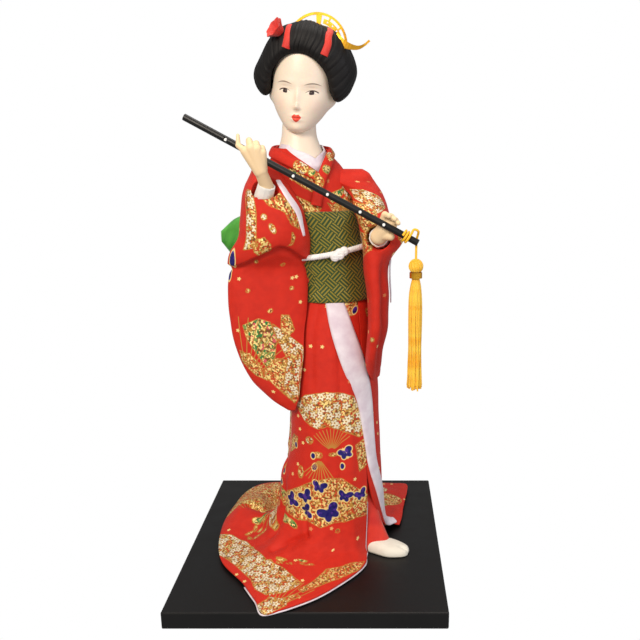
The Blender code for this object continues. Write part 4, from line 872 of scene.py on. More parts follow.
skirtValues = {
    "rows": 198,
    "columns": 240,
    "slitTop": 4.4,
    "slitRows": 4.0,
    "creases": (
        (184.0, 34.0, -3.4, 1.2, 5.0),
        (203.0, 5.0, -3.6, 4.4, 7.4),
        (188.0, 7.0, -1.6, 6.2, 9.4),
        (217.0, 8.0, 1.6, 5.0, 9.0),
        (236.0, 5.0, -0.9, 4.6, 9.6),
        (262.0, 8.0, 0.8, 3.0, 8.5),
        (285.0, 5.0, -0.8, 1.0, 6.5),
        (300.0, 5.0, 0.6, 0.6, 9.0),
        (246.0, 5.0, -0.7, 0.4, 3.4),
        (170.0, 6.0, 1.6, 5.6, 8.8),
        (140.0, 8.0, -1.8, 3.0, 9.0),
        (112.0, 8.0, 1.6, 2.0, 9.0),
        (84.0, 9.0, -1.8, 2.0, 9.0),
        (55.0, 8.0, 1.5, 2.0, 9.2),
        (30.0, 6.0, -1.0, 3.0, 9.2),
    ),
    "tucks": (
        ([(-31.0, 152.0), (-16.0, 143.0)], 1.6, -2.4),
        ([(-17.5, 131.0), (-16.0, 143.0)], 1.5, -1.8),
        ([(-27.0, 158.0), (-12.0, 149.0)], 2.6, 1.2),
        ([(-37.0, 78.0), (-39.5, 108.0)], 2.6, -3.4),
        ([(-41.0, 112.0), (-52.0, 106.0)], 2.2, -3.0),
        ([(-46.0, 78.0), (-47.0, 100.0)], 3.0, 1.8),
    ),
    "front": 285.0,  # angle that the rows are spaced along
    "middle": 0.878,  # share of the columns at which the cloth map begins
    "plan": (-8, 124),  # where the cloth map of the train begins, which is a plan
    "planRows": (6.1, 1.6),  # row where the plan takes over, and in how many rows
    "floor": 10.9,
}
hemTable = np.array(
    [(-43.0, 31.0), (10.0, 42.5), (30.0, 51.5), (41.0, 62.0), (47.0, 71.5), (52.0, 79.0)]
    + [(58.0, 75.0), (70.0, 68.0), (90.0, 63.0), (112.0, 70.0), (131.0, 81.0), (155.0, 71.0)]
    + [(180.0, 66.0), (207.0, 66.5), (228.0, 66.5), (242.0, 73.5), (250.0, 81.5), (255.0, 75.5)]
    + [(264.0, 66.0), (281.0, 51.0), (305.0, 38.5), (317.0, 31.0), (374.0, 42.5)]
)
hemSpread = ((0.07, 30.0), (0.24, 17.5), (0.5, 13.0), (0.78, 11.6), (1.0, 11.0))


# Folds of the cloth on the board: hills at the left and back, ripples between
def poolHeight(theta, share):
    left = 13.0 * hill(theta, 158.0, 17.0) * hill(share, 0.66, 0.17)
    back = 5.0 * hill(theta, 90.0, 20.0) * hill(share, 0.6, 0.2)
    return left + back + 0.9 * (1 - np.cos(np.radians(theta) * 7)) * math.sin(math.pi * share)


# Six rings of the body line, then five from it to the hem, on a Catmull-Rom curve by row number
def skirtPoint(theta, row):
    theta, row = np.broadcast_arrays(np.asarray(theta, float) % 360, row)
    knots = [bodyPoint(theta, z) for z in (168.0, 158.0, 138.0, 110.0, 78.0, 50.0)]
    reach, turn = curveAt(hemTable, theta)[..., 0], np.radians(theta)
    hem = np.stack((8 + reach * np.cos(turn), reach * np.sin(turn), np.zeros_like(reach)), -1)
    for share, z in hemSpread:
        flat = knots[5] + (hem - knots[5]) * share
        flat[..., 2] = z + poolHeight(theta, share)
        knots.append(flat)
    return alongKnots(knots, row)


# Angles of the front opening's two edges, which spread with an eased step below slitTop
def slitEdges(row):
    share = ease((row - skirtValues["slitTop"]) / skirtValues["slitRows"])
    return -38 + 50 * share, 322 - 6 * share


# Rows lie at equal steps down the front, where the sum of step lengths is one nth of the whole
def makeSkirt(v):
    row = np.linspace(0, 10, 400)
    steps = np.linalg.norm(np.diff(skirtPoint(v["front"], row), axis=0), axis=1)
    length = np.concatenate(([0.0], np.cumsum(steps)))
    row = np.interp(np.linspace(0, length[-1], v["rows"]), length, row)
    start, stop = slitEdges(row)
    share = np.linspace(0, 1, v["columns"])
    theta = start[:, None] + (stop - start)[:, None] * share
    rows = np.broadcast_to(row[:, None], theta.shape)
    points = skirtPoint(theta, rows)
    flat = clothMap(points, False, int(v["columns"] * v["middle"]))
    plan = points[..., :2] * (1, -1) + v["plan"]
    first, count = v["planRows"]
    flat = flat + (plan - flat) * ease((rows[..., None] - first) / count)
    push = 0.25 * ripple(flat[..., 0], flat[..., 1], 26, 3)
    for angle, width, depth, first, last in v["creases"]:
        reach = ease((rows - first) / 1.6) * ease((last - rows) / 0.8)
        push = push + depth * hill(theta, angle, width) * reach
    for line, width, depth in v["tucks"]:
        push = push + depth * hill(areaDistance(line, flat), 0, width)
    push = push * ease((10 - rows) / 0.5) * ease(rows / 0.6)
    points = points + gridNormals(points, False, True) * push[..., None]
    points[..., 2] = np.maximum(points[..., 2], v["floor"])
    marks = patternMarks(skirtMotifs, flat)
    made = surface("kimonoSkirt", "kimono_skirt", "brocade", points, False, flat=flat, marks=marks, thick=0.9)


skirtMotifs = {
    "cream": [
        (
            "area",
            [(-24.5, 68.6), (-16.7, 62.5), (-5.0, 59.9), (4.5, 60.8), (10.2, 63.4), (13.3, 70.3)]
            + [(17.5, 77.2), (21.0, 86.0), (13.0, 87.8), (8.1, 85.0), (2.3, 82.4), (-4.6, 79.8)]
            + [(-9.8, 81.6), (-14.5, 79.8), (-18.2, 77.2), (-21.9, 72.0)],
        ),
        (
            "area",
            [(-68.8, 125.8), (-57.5, 130.3), (-48.0, 137.2), (-41.0, 147.0), (-33.0, 158.3)]
            + [(-23.5, 164.9), (-16.2, 173.0), (-11.2, 176.9), (-15.0, 181.5), (-20.7, 185.9)]
            + [(-29.3, 186.7), (-35.5, 181.9), (-39.7, 172.8), (-49.5, 161.1), (-56.3, 153.8)]
            + [(-65.7, 145.7)],
        ),
        ("spot", -14.7, 88.5, 2.4, 2.2, 0.0),
        ("spot", -43.7, 144.9, 1.6, 1.6, 0.0),
        (
            "area",
            [(-34.6, 195.1), (-26.8, 188.7), (-17.9, 189.5), (-17.2, 194.3), (-24.0, 199.7)]
            + [(-30.1, 202.5)],
        ),
        ("spot", 27.0, 76.0, 9.0, 7.0, -40.0),
        ("spot", -60.0, 66.0, 5.0, 3.0, 20.0),
    ],
    "golden": [
        (
            "area",
            [(-38.8, 126.6), (-23.2, 118.0), (-14.3, 112.8), (-4.3, 109.3), (4.3, 110.2)]
            + [(10.2, 115.4), (16.4, 119.8), (20.8, 124.1), (20.0, 135.4), (11.0, 134.5)]
            + [(5.1, 136.5), (-1.3, 136.1), (-8.6, 138.1), (-14.7, 135.4), (-22.9, 136.5)]
            + [(-30.8, 133.5), (-38.9, 133.8)],
        ),
        (
            "area",
            [(-64.0, 84.8), (-60.0, 70.7), (-50.8, 62.7), (-40.2, 60.0), (-36.5, 72.5)]
            + [(-36.0, 94.1), (-39.1, 111.9), (-42.5, 114.6), (-47.5, 109.2), (-52.5, 103.9)]
            + [(-58.8, 105.9), (-64.6, 107.2), (-68.2, 109.9), (-67.1, 98.1)],
        ),
        (
            "area",
            [(0.8, 166.6), (8.0, 164.5), (14.6, 159.2), (21.5, 155.2), (18.5, 163.3)]
            + [(7.8, 172.9), (-3.0, 180.0), (-10.7, 184.8), (-13.2, 181.9), (-6.2, 175.9)],
        ),
        ("area", [(-38.6, 98.1), (-27.5, 87.7), (-22.9, 88.5), (-23.9, 94.6), (-31.0, 99.8), (-38.3, 102.4)]),
        ("area", [(-22.0, 190.0), (-13.0, 185.0), (-11.0, 188.0), (-18.0, 192.5)]),
        ("area", [(10.5, 92.0), (18.5, 88.0), (20.5, 104.0), (13.5, 108.0)]),
        ("spot", -44.7, 126.1, 2.6, 1.2, 90),
        ("spot", -41.2, 129.6, 2.6, 1.2, 18),
        ("spot", -42.6, 134.4, 2.6, 1.2, -54),
        ("spot", -47.0, 134.2, 2.6, 1.2, 54),
        ("spot", -48.2, 129.2, 2.6, 1.2, -18),
        ("spot", -31.5, 160.0, 2.6, 1.2, 10),
        ("spot", -25.5, 161.6, 2.8, 0.9, 12.0),
        ("spot", -19.2, 163.2, 2.8, 0.9, 12.0),
        ("spot", -13.0, 163.4, 2.8, 0.9, 12.0),
        ("spot", -8.4, 163.8, 2.8, 0.9, 12.0),
        ("spot", 0.7, 141.0, 1.4, 1.4, 0.0),
        ("spot", -1.6, 96.0, 2.4, 1.2, 0.0),
        ("spot", -9.6, 96.4, 2.6, 2.0, 0.0),
        ("spot", -20.0, 108.0, 2.0, 3.6, 0.0),
        ("spot", -30.0, 30.0, 10.0, 6.0, 0.0),
        ("spot", 8.0, 12.0, 5.0, 7.0, 0.0),
        ("spot", 36.0, 88.0, 9.0, 7.0, -30.0),
        ("spot", -82.0, 60.0, 12.0, 9.0, 30.0),
        ("spot", -95.0, 30.0, 10.0, 14.0, 0.0),
    ],
    "leafy": [
        ("spot", -43.6, 121.5, 4.6, 2.4, 30.0),
        ("spot", -37.0, 126.6, 4.0, 2.4, 50.0),
        ("spot", -31.6, 138.0, 4.2, 2.4, 0.0),
        ("spot", -26.6, 139.0, 3.6, 2.2, 30.0),
        ("spot", -14.2, 160.6, 3.8, 1.3, 10.0),
        ("spot", -24.7, 159.6, 3.6, 1.3, 12.0),
        ("spot", -100.0, 66.0, 9.0, 7.0, 30.0),
        ("spot", 31.0, 96.0, 4.0, 3.0, 0.0),
    ],
    "navy": [
        *butterfly(-26.0, 125.6, 4.6, 60.0),
        *butterfly(-16.8, 121.4, 4.6, -35.0),
        *butterfly(-16.6, 130.0, 4.2, 75.0),
        *butterfly(-8.6, 114.8, 4.4, 10.0),
        *butterfly(-3.4, 129.8, 6.4, -30.0),
        *butterfly(5.4, 120.8, 4.4, 15.0),
        *butterfly(14.6, 121.4, 4.2, -20.0),
        *butterfly(5.3, 95.6, 4.4, -25.0),
        *(("spot", u, v, 1.3, 1.8, 0.0) for u, v in ((3.8, 103.2), (-12.5, 97.2), (-25.1, 93.7))),
        *(("spot", u, v, 1.3, 1.8, 0.0) for u, v in ((-36.5, 112.8), (-38.6, 120.0))),
        *(("spot", u, v, 1.5, 2.2, 20.0) for u, v in ((-11.5, 103.6), (10.5, 16.0), (5.0, 9.0))),
        *(("spot", u, v, 1.5, 2.2, 20.0) for u, v in ((19.4, 98.0), (-38.6, 108.0))),
    ],
    "ribs": [
        ("fan", -8.3, 98.9, 1.0, 13.5, 97.0, 46.0),
        ("fan", -2.5, 94.0, 2.0, 13.0, -88.0, 52.0),
        ("fan", -50.0, 116.0, 8.0, 40.0, -95.0, 40.0),
        ("fan", -25.0, 198.0, 6.0, 26.0, -60.0, 30.0),
    ],
}
makeSkirt(skirtValues)
print("stage: skirt")


# Strips that follow a surface: rows of (u, v, width) along a path, lifted off it, with rounded edges

# Side direction in (u, v) solves su = s . Su, sv = s . Sv for the surface's two tangents
def bandGrid(onSurface, grain, path, lift, thickness, steps, across, bulge=0.0):
    u, v, width = curveAt(numbered(path), np.linspace(0, len(path) - 1, steps)).T
    du, dv = grain[0], abs(grain[1])
    sign = math.copysign(1.0, grain[1])

    def tangents(a, b):
        alongA = (onSurface(a + du, b) - onSurface(a - du, b)) / (2 * du)
        alongB = (onSurface(a, b + dv) - onSurface(a, b - dv)) / (2 * dv)
        return alongA, alongB

    alongU, alongV = tangents(u, v)
    out = unit(np.cross(alongU, alongV) * sign)
    side = np.cross(unit(np.gradient(onSurface(u, v), axis=0)), out)
    uu, uv, vv = (alongU**2).sum(1), (alongU * alongV).sum(1), (alongV**2).sum(1)
    su, sv = (side * alongU).sum(1), (side * alongV).sum(1)
    area = uu * vv - uv * uv
    shiftU, shiftV = (su * vv - sv * uv) / area, (sv * uu - su * uv) / area
    rings = []
    edge = np.linspace(-0.5, 0.5, across)
    for share, high in [(s, True) for s in edge] + [(s, False) for s in edge[::-1]]:
        away = share * width
        a, b = u + shiftU * away, v + shiftV * away
        alongA, alongB = tangents(a, b)
        up = unit(np.cross(alongA, alongB) * sign)
        edging = math.sqrt(max(0.0, 1 - (2 * abs(share)) ** 8))
        height = 0.12 * (1 - edging)
        if high:
            height = thickness * (0.5 + 0.5 * edging) + bulge * (1 - 4 * share**2)
        rings.append(onSurface(a, b) + up * (lift + height))
    return np.stack(rings, 1)


bandValues = {
    "front": ((-88, 0.95, 8.8), (-70, 1.75, 12), (-52, 2.55, 13.6), (-38, 3.2, 10.8), (-32, 3.9, 8.4))
    + ((-28, 4.5, 7.6), (-16, 5.2, 8.2), (-2, 6.1, 8.6), (10, 7.4, 7.2), (16, 8.8, 4.5)),
    "collar": ((-88, 208.5, 5.4), (-78, 213, 5.4), (-66, 218.4, 5.4), (-52, 223.6, 5.4), (-34, 229.0, 5.4))
    + ((-10, 234.0, 5.2), (30, 236, 5), (90, 237.2, 5), (140, 237, 5), (180, 236, 5.2))
    + ((215, 234.4, 5.4), (240, 231.6, 5.4), (262, 228.4, 5.2), (284, 224.8, 5.0), (298, 222.2, 4.6)),
}


# The turned-back lining of the front opening, and the collar round the neck
def makeBands(v):
    grid = bandGrid(skirtPoint, (0.5, -0.03), v["front"], gap + 0.5, 0.9, 150, 12)
    made = surface("frontLining", "front_lining_band", "lining", grid, caps=True)
    grid = bandGrid(bodyPoint, (0.5, 0.3), v["collar"], gap + 0.5, 0.9, 200, 12, 0.4)
    marks = patternMarks(collarMotifs, clothMap(grid, True)[:, :-1])
    made = surface("kimonoCollar", "kimono_collar", "brocade", grid, caps=True, marks=marks)


collarMotifs = {
    "cream": [("spot", 3.0, 30.0, 3.0, 3.0, 0.0), ("spot", 3.0, 112.0, 4.0, 4.0, 0.0)],
    "golden": [
        ("spot", 1.0, 12.0, 4.0, 4.0, 0.0),
        ("spot", 5.0, 38.0, 4.0, 5.0, 0.0),
        ("spot", 3.0, 124.0, 3.5, 4.0, 0.0),
    ],
    "leafy": [("spot", 4.0, 21.0, 3.0, 2.6, 0.0), ("spot", 2.0, 118.0, 3.0, 2.0, 0.0)],
}
makeBands(bandValues)


# The rolled hem edge: down the slit, then along the front hem to the train's tip
def makePiping():
    row = np.linspace(5.4, 10, 9)
    slit = skirtPoint(slitEdges(row)[1] + 0.8, row)
    front = skirtPoint(317 - 85 * np.arange(1, 16) / 15, 10.0)
    spots = np.concatenate((slit, front))
    lifted = spots + unit((spots - (8, 0, 0)) * (1, 1, 0)) * 0.3
    lifted[:, 2] = np.maximum(spots[:, 2] - 0.4, 10.2)
    rings = tubeRings(smoothLine(lifted, 220), 0.42, 10)
    surface("hemPiping", "hem_piping", "lining", rings, caps=True)


makePiping()
print("stage: lining and collar")


# Under robe and foot

# Five rings inside the body line and three that swell over the foot, with fine upright folds
def makeUnderRobe():
    theta = np.linspace(0, 360, 160, endpoint=False)
    rings = [bodyPoint(theta, z, -2.4) for z in (150.0, 138.0, 110.0, 78.0, 50.0)]
    away = (theta + 180) % 360 - 180
    for z, bulge in ((30.0, 5.0), (18.0, 10.0), (9.85, 14.6)):
        ring = bodyPoint(theta, 50.0, -3.2 + bulge * hill(away, -24.0, 17.0))
        ring[:, 2] = z
        rings.append(ring)
    dense = curveAt(numbered(rings), np.linspace(0, 7, 110)).reshape(110, 160, 3)
    low = ease((60 - dense[..., 2]) / 40)
    folds = 0.35 * np.sin(np.radians(theta * 13 + 40)) * low
    dense = dense + gridNormals(dense, True, True) * folds[..., None]
    dense[..., 2] = np.maximum(dense[..., 2], 9.8)
    made = surface("underRobe", "under_robe", "robe", dense, caps=True)


# Sock sections from heel to toe: a flat-bottomed arch with a cleft beside the big toe
def makeFoot():
    heel, toe = np.array((27.0, -12.0, 9.85)), np.array((54.5, -19.8, 9.85))
    run = unit(toe - heel)
    side = np.array((-run[1], run[0], 0))
    sections = ((0.0, 2.6, 5.0), (0.1, 4.2, 6.5), (0.35, 6.0, 6.6), (0.62, 7.4, 5.6))
    sections += ((0.85, 5.8, 4.4), (0.96, 4.0, 3.4), (1.0, 2.2, 2.2))
    share = np.linspace(0, 1, 70)
    half, height = curveAt(sections, share).T
    _, c, s = roundTurns(72)
    wide = half[:, None] * squared(c, 0.75)
    up = height[:, None] * np.maximum(s, 0) ** 0.8
    cleft = 1.6 * ease((share - 0.74) / 0.2)[:, None] * hill(wide, -1.2, 0.7) * (s > 0.1)
    middle = heel + (toe - heel) * share[:, None]
    points = middle[:, None] + side * wide[..., None] + (up - cleft)[..., None] * np.array((0, 0, 1.0))
    surface("sockFoot", "foot_left", "sock", points, caps=True)


makeUnderRobe()
makeFoot()


# Bodice and under collar

# Heights of the waist, of the V's point and of the under collar's foot
bodiceValues = {"waist": 168.5, "point": 224.7, "foot": 221.0}


# Height of the edge: a V at the chest front that climbs to the nape
def neckline(theta):
    away = np.abs(turnFrom(theta, neckFront))
    return bodiceValues["point"] + 12.6 * np.minimum(away / 66, 1) + 2.6 * ease((away - 66) / 114)


# Height of the under collar's edge: above the neckline, most of all in the V
def underNeckline(theta):
    return neckline(theta) + 2.0 + 5.6 * (1 - ease(np.abs(turnFrom(theta, neckFront)) / 70))


# The bodice is the body line from waist to neckline, the under collar a band inside it
def makeBodice(v):
    theta = chestFront + np.linspace(0, 360, 220, endpoint=False)
    share = np.linspace(0, 1, 80)[:, None]
    z = v["waist"] + (neckline(theta)[None] - v["waist"]) * share
    points = bodyPoint(theta[None], z, 0.0)
    flat = clothMap(points, True, 0)
    flat[..., 0] = np.where(flat[..., 0] > flat[:, -1:, 0] / 2, flat[..., 0] - flat[:, -1:, 0], flat[..., 0])
    push = 0.3 * ripple(flat[:, :-1, 0], flat[:, :-1, 1], 16, 8) * ease((z - 206) / 6)
    points = points + gridNormals(points, True) * push[..., None]
    marks = patternMarks(bodiceMotifs, flat[:, :-1])
    made = surface("kimonoBodice", "kimono_bodice", "brocade", points, flat=flat, marks=marks, thick=0.8)
    z = v["foot"] + (underNeckline(theta)[None] - v["foot"]) * np.linspace(0, 1, 16)[:, None]
    away = turnFrom(theta[None], neckFront)
    points = bodyPoint(theta[None], z, -1.85 + 1.5 * ease((z - 225) / 4) * hill(away, 0, 46))
    made = surface("underCollar", "under_collar", "lining", points, thick=0.7)


bodiceMotifs = {
    "golden": [
        ("area", [(-16.4, 47.9), (-7.9, 57.8), (-1.6, 58.3), (0.8, 53.5), (-5.9, 45.7), (-11.4, 46.3)]),
        ("area", [(1.2, 43.4), (10.8, 42.9), (26.8, 42.9), (20.3, 35.2), (10.4, 33.6), (3.2, 36.8)]),
        ("area", [(-18.2, 40.1), (-8.8, 39.0), (-3.5, 38.4), (-7.3, 34.1), (-15.0, 33.1), (-20.6, 35.7)]),
    ],
    "cream": [("area", [(18.0, 48.5), (27.2, 45.1), (25.6, 41.2), (15.4, 41.8), (13.6, 46.8)])],
    "leafy": [
        ("area", [(-17.7, 51.8), (-12.1, 56.2), (-8.8, 55.1), (-14.0, 49.1), (-17.5, 48.5)]),
        ("area", [(2.5, 50.2), (11.2, 47.9), (18.5, 46.3), (12.9, 44.0), (4.7, 44.0)]),
    ],
    "ribs": [("fan", 10.0, 34.0, 1.5, 9.0, 75.0, 42.0)],
}
makeBodice(bodiceValues)
print("stage: robe, foot and bodice")


# Obi, its cord and the bow

# Heights, lift off the body line, thickness of the sash and radius of its cord
obiSize = {"bottom": 157.0, "top": 205.5, "lift": 0.65, "thick": 2.0, "cord": 1.55}


# An outer wall with rounded edges and slow waves, and an inner wall, on the body line
def makeObi(v):
    theta = chestFront + 180 + np.linspace(0, 360, 260, endpoint=False)
    z = np.linspace(v["bottom"], v["top"], 90)[:, None]
    edgeward = np.abs(z - (v["bottom"] + v["top"]) / 2) / (v["top"] - v["bottom"]) * 2
    rounding = 0.9 * (1 - np.sqrt(np.clip(1 - edgeward**16, 0, 1)))
    sag = 0.22 * ripple(theta[None] * 0.4, z, 22, 5)
    outer = bodyPoint(theta[None], z, v["lift"] + v["thick"] - rounding + sag)
    flat = clothMap(outer, True, 130)
    inner = bodyPoint(theta[None], z, v["lift"])
    points = np.concatenate((outer, inner[::-1][:1], inner[:1]))
    flat = np.concatenate((flat, flat[-1:], flat[:1]))
    made = surface("obiSash", "obi", "obi", points, flat=flat)


# Three plies round the cord's line, each at line + 0.72 (out cos, up sin)(34 turns + phase), and
# three lumps of four leaning rings for the knot
def makeObiCord(v):
    lift = v["lift"] + v["thick"] + gap + v["cord"]
    angle = np.linspace(0, 360, 420)
    level = 184 + 3.5 * np.sin(np.radians(angle + 78))
    line = bodyPoint(angle, level, lift)
    out = unit((line - curveAt(bodyLine, level)[:, [0, 1, 1]]) * (1, 1, 0))
    up = np.array((0, 0, 1.0))
    grids = []
    for ply in range(3):
        phase = np.radians(angle * 34 + ply * 120)[:, None]
        strand = line + 0.72 * (out * np.cos(phase) + up * np.sin(phase))
        grids.append(tubeRings(strand, 0.86, 8))
    knots = ((-72.0, 183.8, 2.5, 3.0), (-79.5, 182.4, 2.0, 2.2), (-64.0, 185.2, 2.0, 2.2))
    for theta, height, size, tall in knots:
        middle = bodyPoint(theta, height, lift + 1.0)
        for ply in range(4):
            t = np.linspace(0, 2 * math.pi, 40)
            tilt = math.radians(45 * ply + 20)
            deep, high = 0.9 * math.sin(tilt) * np.sin(t) - 0.3, tall * math.cos(tilt) * np.sin(t)
            grids.append(tubeRings(middle + joined(size * np.cos(t), deep, high) * 0.72, 1.0, 8))
    strandPiece("obiCord", "obi_cord", "cord", grids)


# Middle and turn of the bow, how far it stays off the body, and the sections of its parts: of a wing
# (share of its reach, half height, half depth, rise), of the knot (height, half width, half depth) and
# of the tail (drop, half width, place behind the middle)
bowValues = {
    "middle": (0.6, 26.0, 185.0),
    "turn": 19.0,
    "clear": 3.05,
    "reach": {"left": -54.0, "right": 46.0},
    "wing": ((0.115, 8.0, 3.2, 0.0), (0.22, 12.5, 5.8, 0.0), (0.42, 16.0, 7.4, 0.5))
    + ((0.66, 15.5, 6.8, 1.5), (0.84, 12.0, 4.8, 2.8), (1.0, 3.0, 1.4, 5.0)),
    "knot": ((-16.0, 4.0, 6.6), (-12.0, 4.6, 8.6), (0.0, 3.6, 9.2), (12.0, 4.6, 8.6), (16.0, 4.0, 6.6)),
    "tail": ((18.5, 13.0, 1.0), (32.0, 14.0, 0.6), (48.0, 15.0, 0.6), (66.0, 16.0, 1.2)),
}


# Squared ovals along each part: x = half width |cos|^p, y or z = half depth |sin|^p, with pleats
def makeBow(v):
    turned = np.array(Matrix.Rotation(math.radians(v["turn"]), 3, "Z"))
    _, c, s = roundTurns(110)

    def placed(*parts):
        return joined(*parts) @ turned.T + v["middle"]

    share = np.linspace(v["wing"][0][0], 1, 80)[:, None]
    tall, deep, rise = np.moveaxis(curveAt(v["wing"], share), -1, 0)
    for side, reach in v["reach"].items():
        y = 1.5 - abs(reach) * share * 0.045 + deep * squared(c, 0.8)
        z = rise + tall * squared(s, 0.6)
        pleat = 0.5 * np.sin(z * 0.55 + 0.4) * np.clip(np.sin(math.pi * share), 0, 1) ** 0.5
        points = pushOut(placed(reach * share, y + pleat * np.sign(c), z), v["clear"])
        key = "innerGreen" if side == "left" else "obi"
        made = surface(f"bowWing_{side}", f"bow_wing_{side}", key, points, caps=True)
    z = np.linspace(v["knot"][0][0], v["knot"][-1][0], 50)[:, None]
    wide, deep = np.moveaxis(curveAt(v["knot"], z), -1, 0)
    points = placed(wide * squared(c, 2 / 3), 1 + deep * squared(s, 2 / 3), z)
    made = surface("bowKnot", "bow_knot", "obi", pushOut(points, v["clear"]), caps=True)
    z = np.linspace(v["tail"][0][0], v["tail"][-1][0], 70)[:, None]
    wide, back = np.moveaxis(curveAt(v["tail"], z), -1, 0)
    x = wide * squared(c, 0.5)
    y = back + 1.1 * squared(s, 0.5) + 0.25 * np.sin(x * 0.35 + z * 0.05)
    made = surface("bowTail", "bow_tail", "obi", placed(x, y, -z)[::-1], caps=True)


makeObi(obiSize)
makeObiCord(obiSize)
makeBow(bowValues)
print("stage: obi and bow")


# Sleeves: height, middle x and y, half length, half thickness, turn

sleeveValues = {
    "right": {
        "rows": (
            (97.0, -10.5, -16.5, 2.5, 1.8, 6.0),
            (103.0, -13.0, -16.5, 8.5, 3.2, 6.0),
            (114.0, -17.0, -17.0, 14.5, 4.0, 6.0),
            (132.0, -20.0, -17.5, 19.0, 4.4, 6.0),
            (150.0, -21.5, -17.5, 20.5, 4.8, 7.0),
            (166.0, -21.5, -17.0, 21.0, 5.4, 9.0),
            (177.0, -20.8, -16.4, 19.8, 6.6, 11.0),
            (184.0, -19.6, -17.2, 19.2, 10.0, 12.0),
            (192.0, -17.2, -17.8, 16.8, 12.6, 12.0),
            (200.0, -17.2, -17.8, 15.4, 13.4, 13.0),
            (207.0, -17.6, -17.4, 14.2, 13.4, 14.0),
            (214.0, -19.6, -15.6, 11.6, 13.2, 16.0),
            (220.0, -21.0, -11.0, 9.0, 11.6, 20.0),
            (226.0, -21.4, -6.4, 8.0, 9.0, 22.0),
            (229.8, -20.6, -4.0, 6.6, 6.8, 20.0),
            (231.8, -19.8, -3.2, 4.2, 4.4, 20.0),
        ),
        "wrist": (-18.6, -26.5, 219.0),
        "elbow": (-28.0, -15.5, 193.0),
        "mouth": 6.4,
        "cuff": (4.4, 5.4, -0.02),
        "front": 0.75,
        "edge": ((-72, 220.5, 2.2), (-60, 216, 3.6), (-50, 210, 4.2), (-42, 203, 3.4), (-38, 194, 1.4)),
    },
    "left": {
        "rows": (
            (112.5, 33.5, -7.0, 4.0, 2.0, 86.0),
            (119.0, 34.0, -7.5, 9.0, 3.4, 86.0),
            (130.0, 35.0, -8.5, 15.0, 4.4, 86.0),
            (146.0, 37.0, -9.0, 18.0, 5.2, 86.0),
            (160.0, 37.0, -9.0, 19.0, 5.6, 86.0),
            (176.0, 36.0, -9.0, 19.5, 6.4, 86.0),
            (190.0, 36.5, -8.5, 19.5, 8.0, 84.0),
            (202.0, 34.4, -3.5, 16.0, 8.4, 80.0),
            (211.0, 31.0, 2.0, 12.0, 9.2, 72.0),
            (217.0, 26.6, 4.0, 11.0, 9.6, 45.0),
            (221.5, 21.6, 3.6, 12.6, 7.6, 12.0),
            (224.8, 19.4, 3.4, 12.6, 5.2, 4.0),
            (226.8, 18.6, 3.4, 10.0, 2.4, 2.0),
        ),
        "wrist": (37.0, -26.5, 193.5),
        "elbow": (39.5, -3.0, 190.5),
        "mouth": 6.2,
        "cuff": (5.0, 5.8, 0.1),
        "front": 0.5,
        "edge": ((-112, 181, 2.2), (-108, 175, 3.2), (-104, 168, 3.0), (-100, 162, 2.2), (-98, 157, 1.2)),
    },
}


# A squared oval, power p = 2.4: x = a |cos|^(2/p), y = b |sin|^(2/p), turned on its middle
def sleevePoint(rows, angle, z):
    angle, z = np.broadcast_arrays(np.asarray(angle, float), z)
    x0, y0, half, thick, turn = np.moveaxis(curveAt(rows, z), -1, 0)
    x = half * squared(np.cos(np.radians(angle)), 1 / 1.2)
    y = thick * squared(np.sin(np.radians(angle)), 1 / 1.2)
    east, north = np.cos(np.radians(turn)), np.sin(np.radians(turn))
    return np.stack((x0 + x * east - y * north, y0 + x * north + y * east, z), -1)


# Points in front of the pocket's floor and within its radius go back to the floor, along the forearm
def dent(points, wrist, elbow, radius):
    wrist, elbow = np.array(wrist), np.array(elbow)
    length = np.linalg.norm(wrist - elbow)
    away = (wrist - elbow) / length
    rel = points - wrist
    axial = rel @ away
    aside = np.linalg.norm(rel - axial[..., None] * away, axis=-1)
    reach = radius + 0.06 * np.clip(axial, 0, 12)
    weight = ease((reach + 0.5 - aside) / 1.0) * (axial > -0.4 * length)
    target = -0.4 * length - gap
    return points + away * (weight * np.minimum(0, target - axial))[..., None]


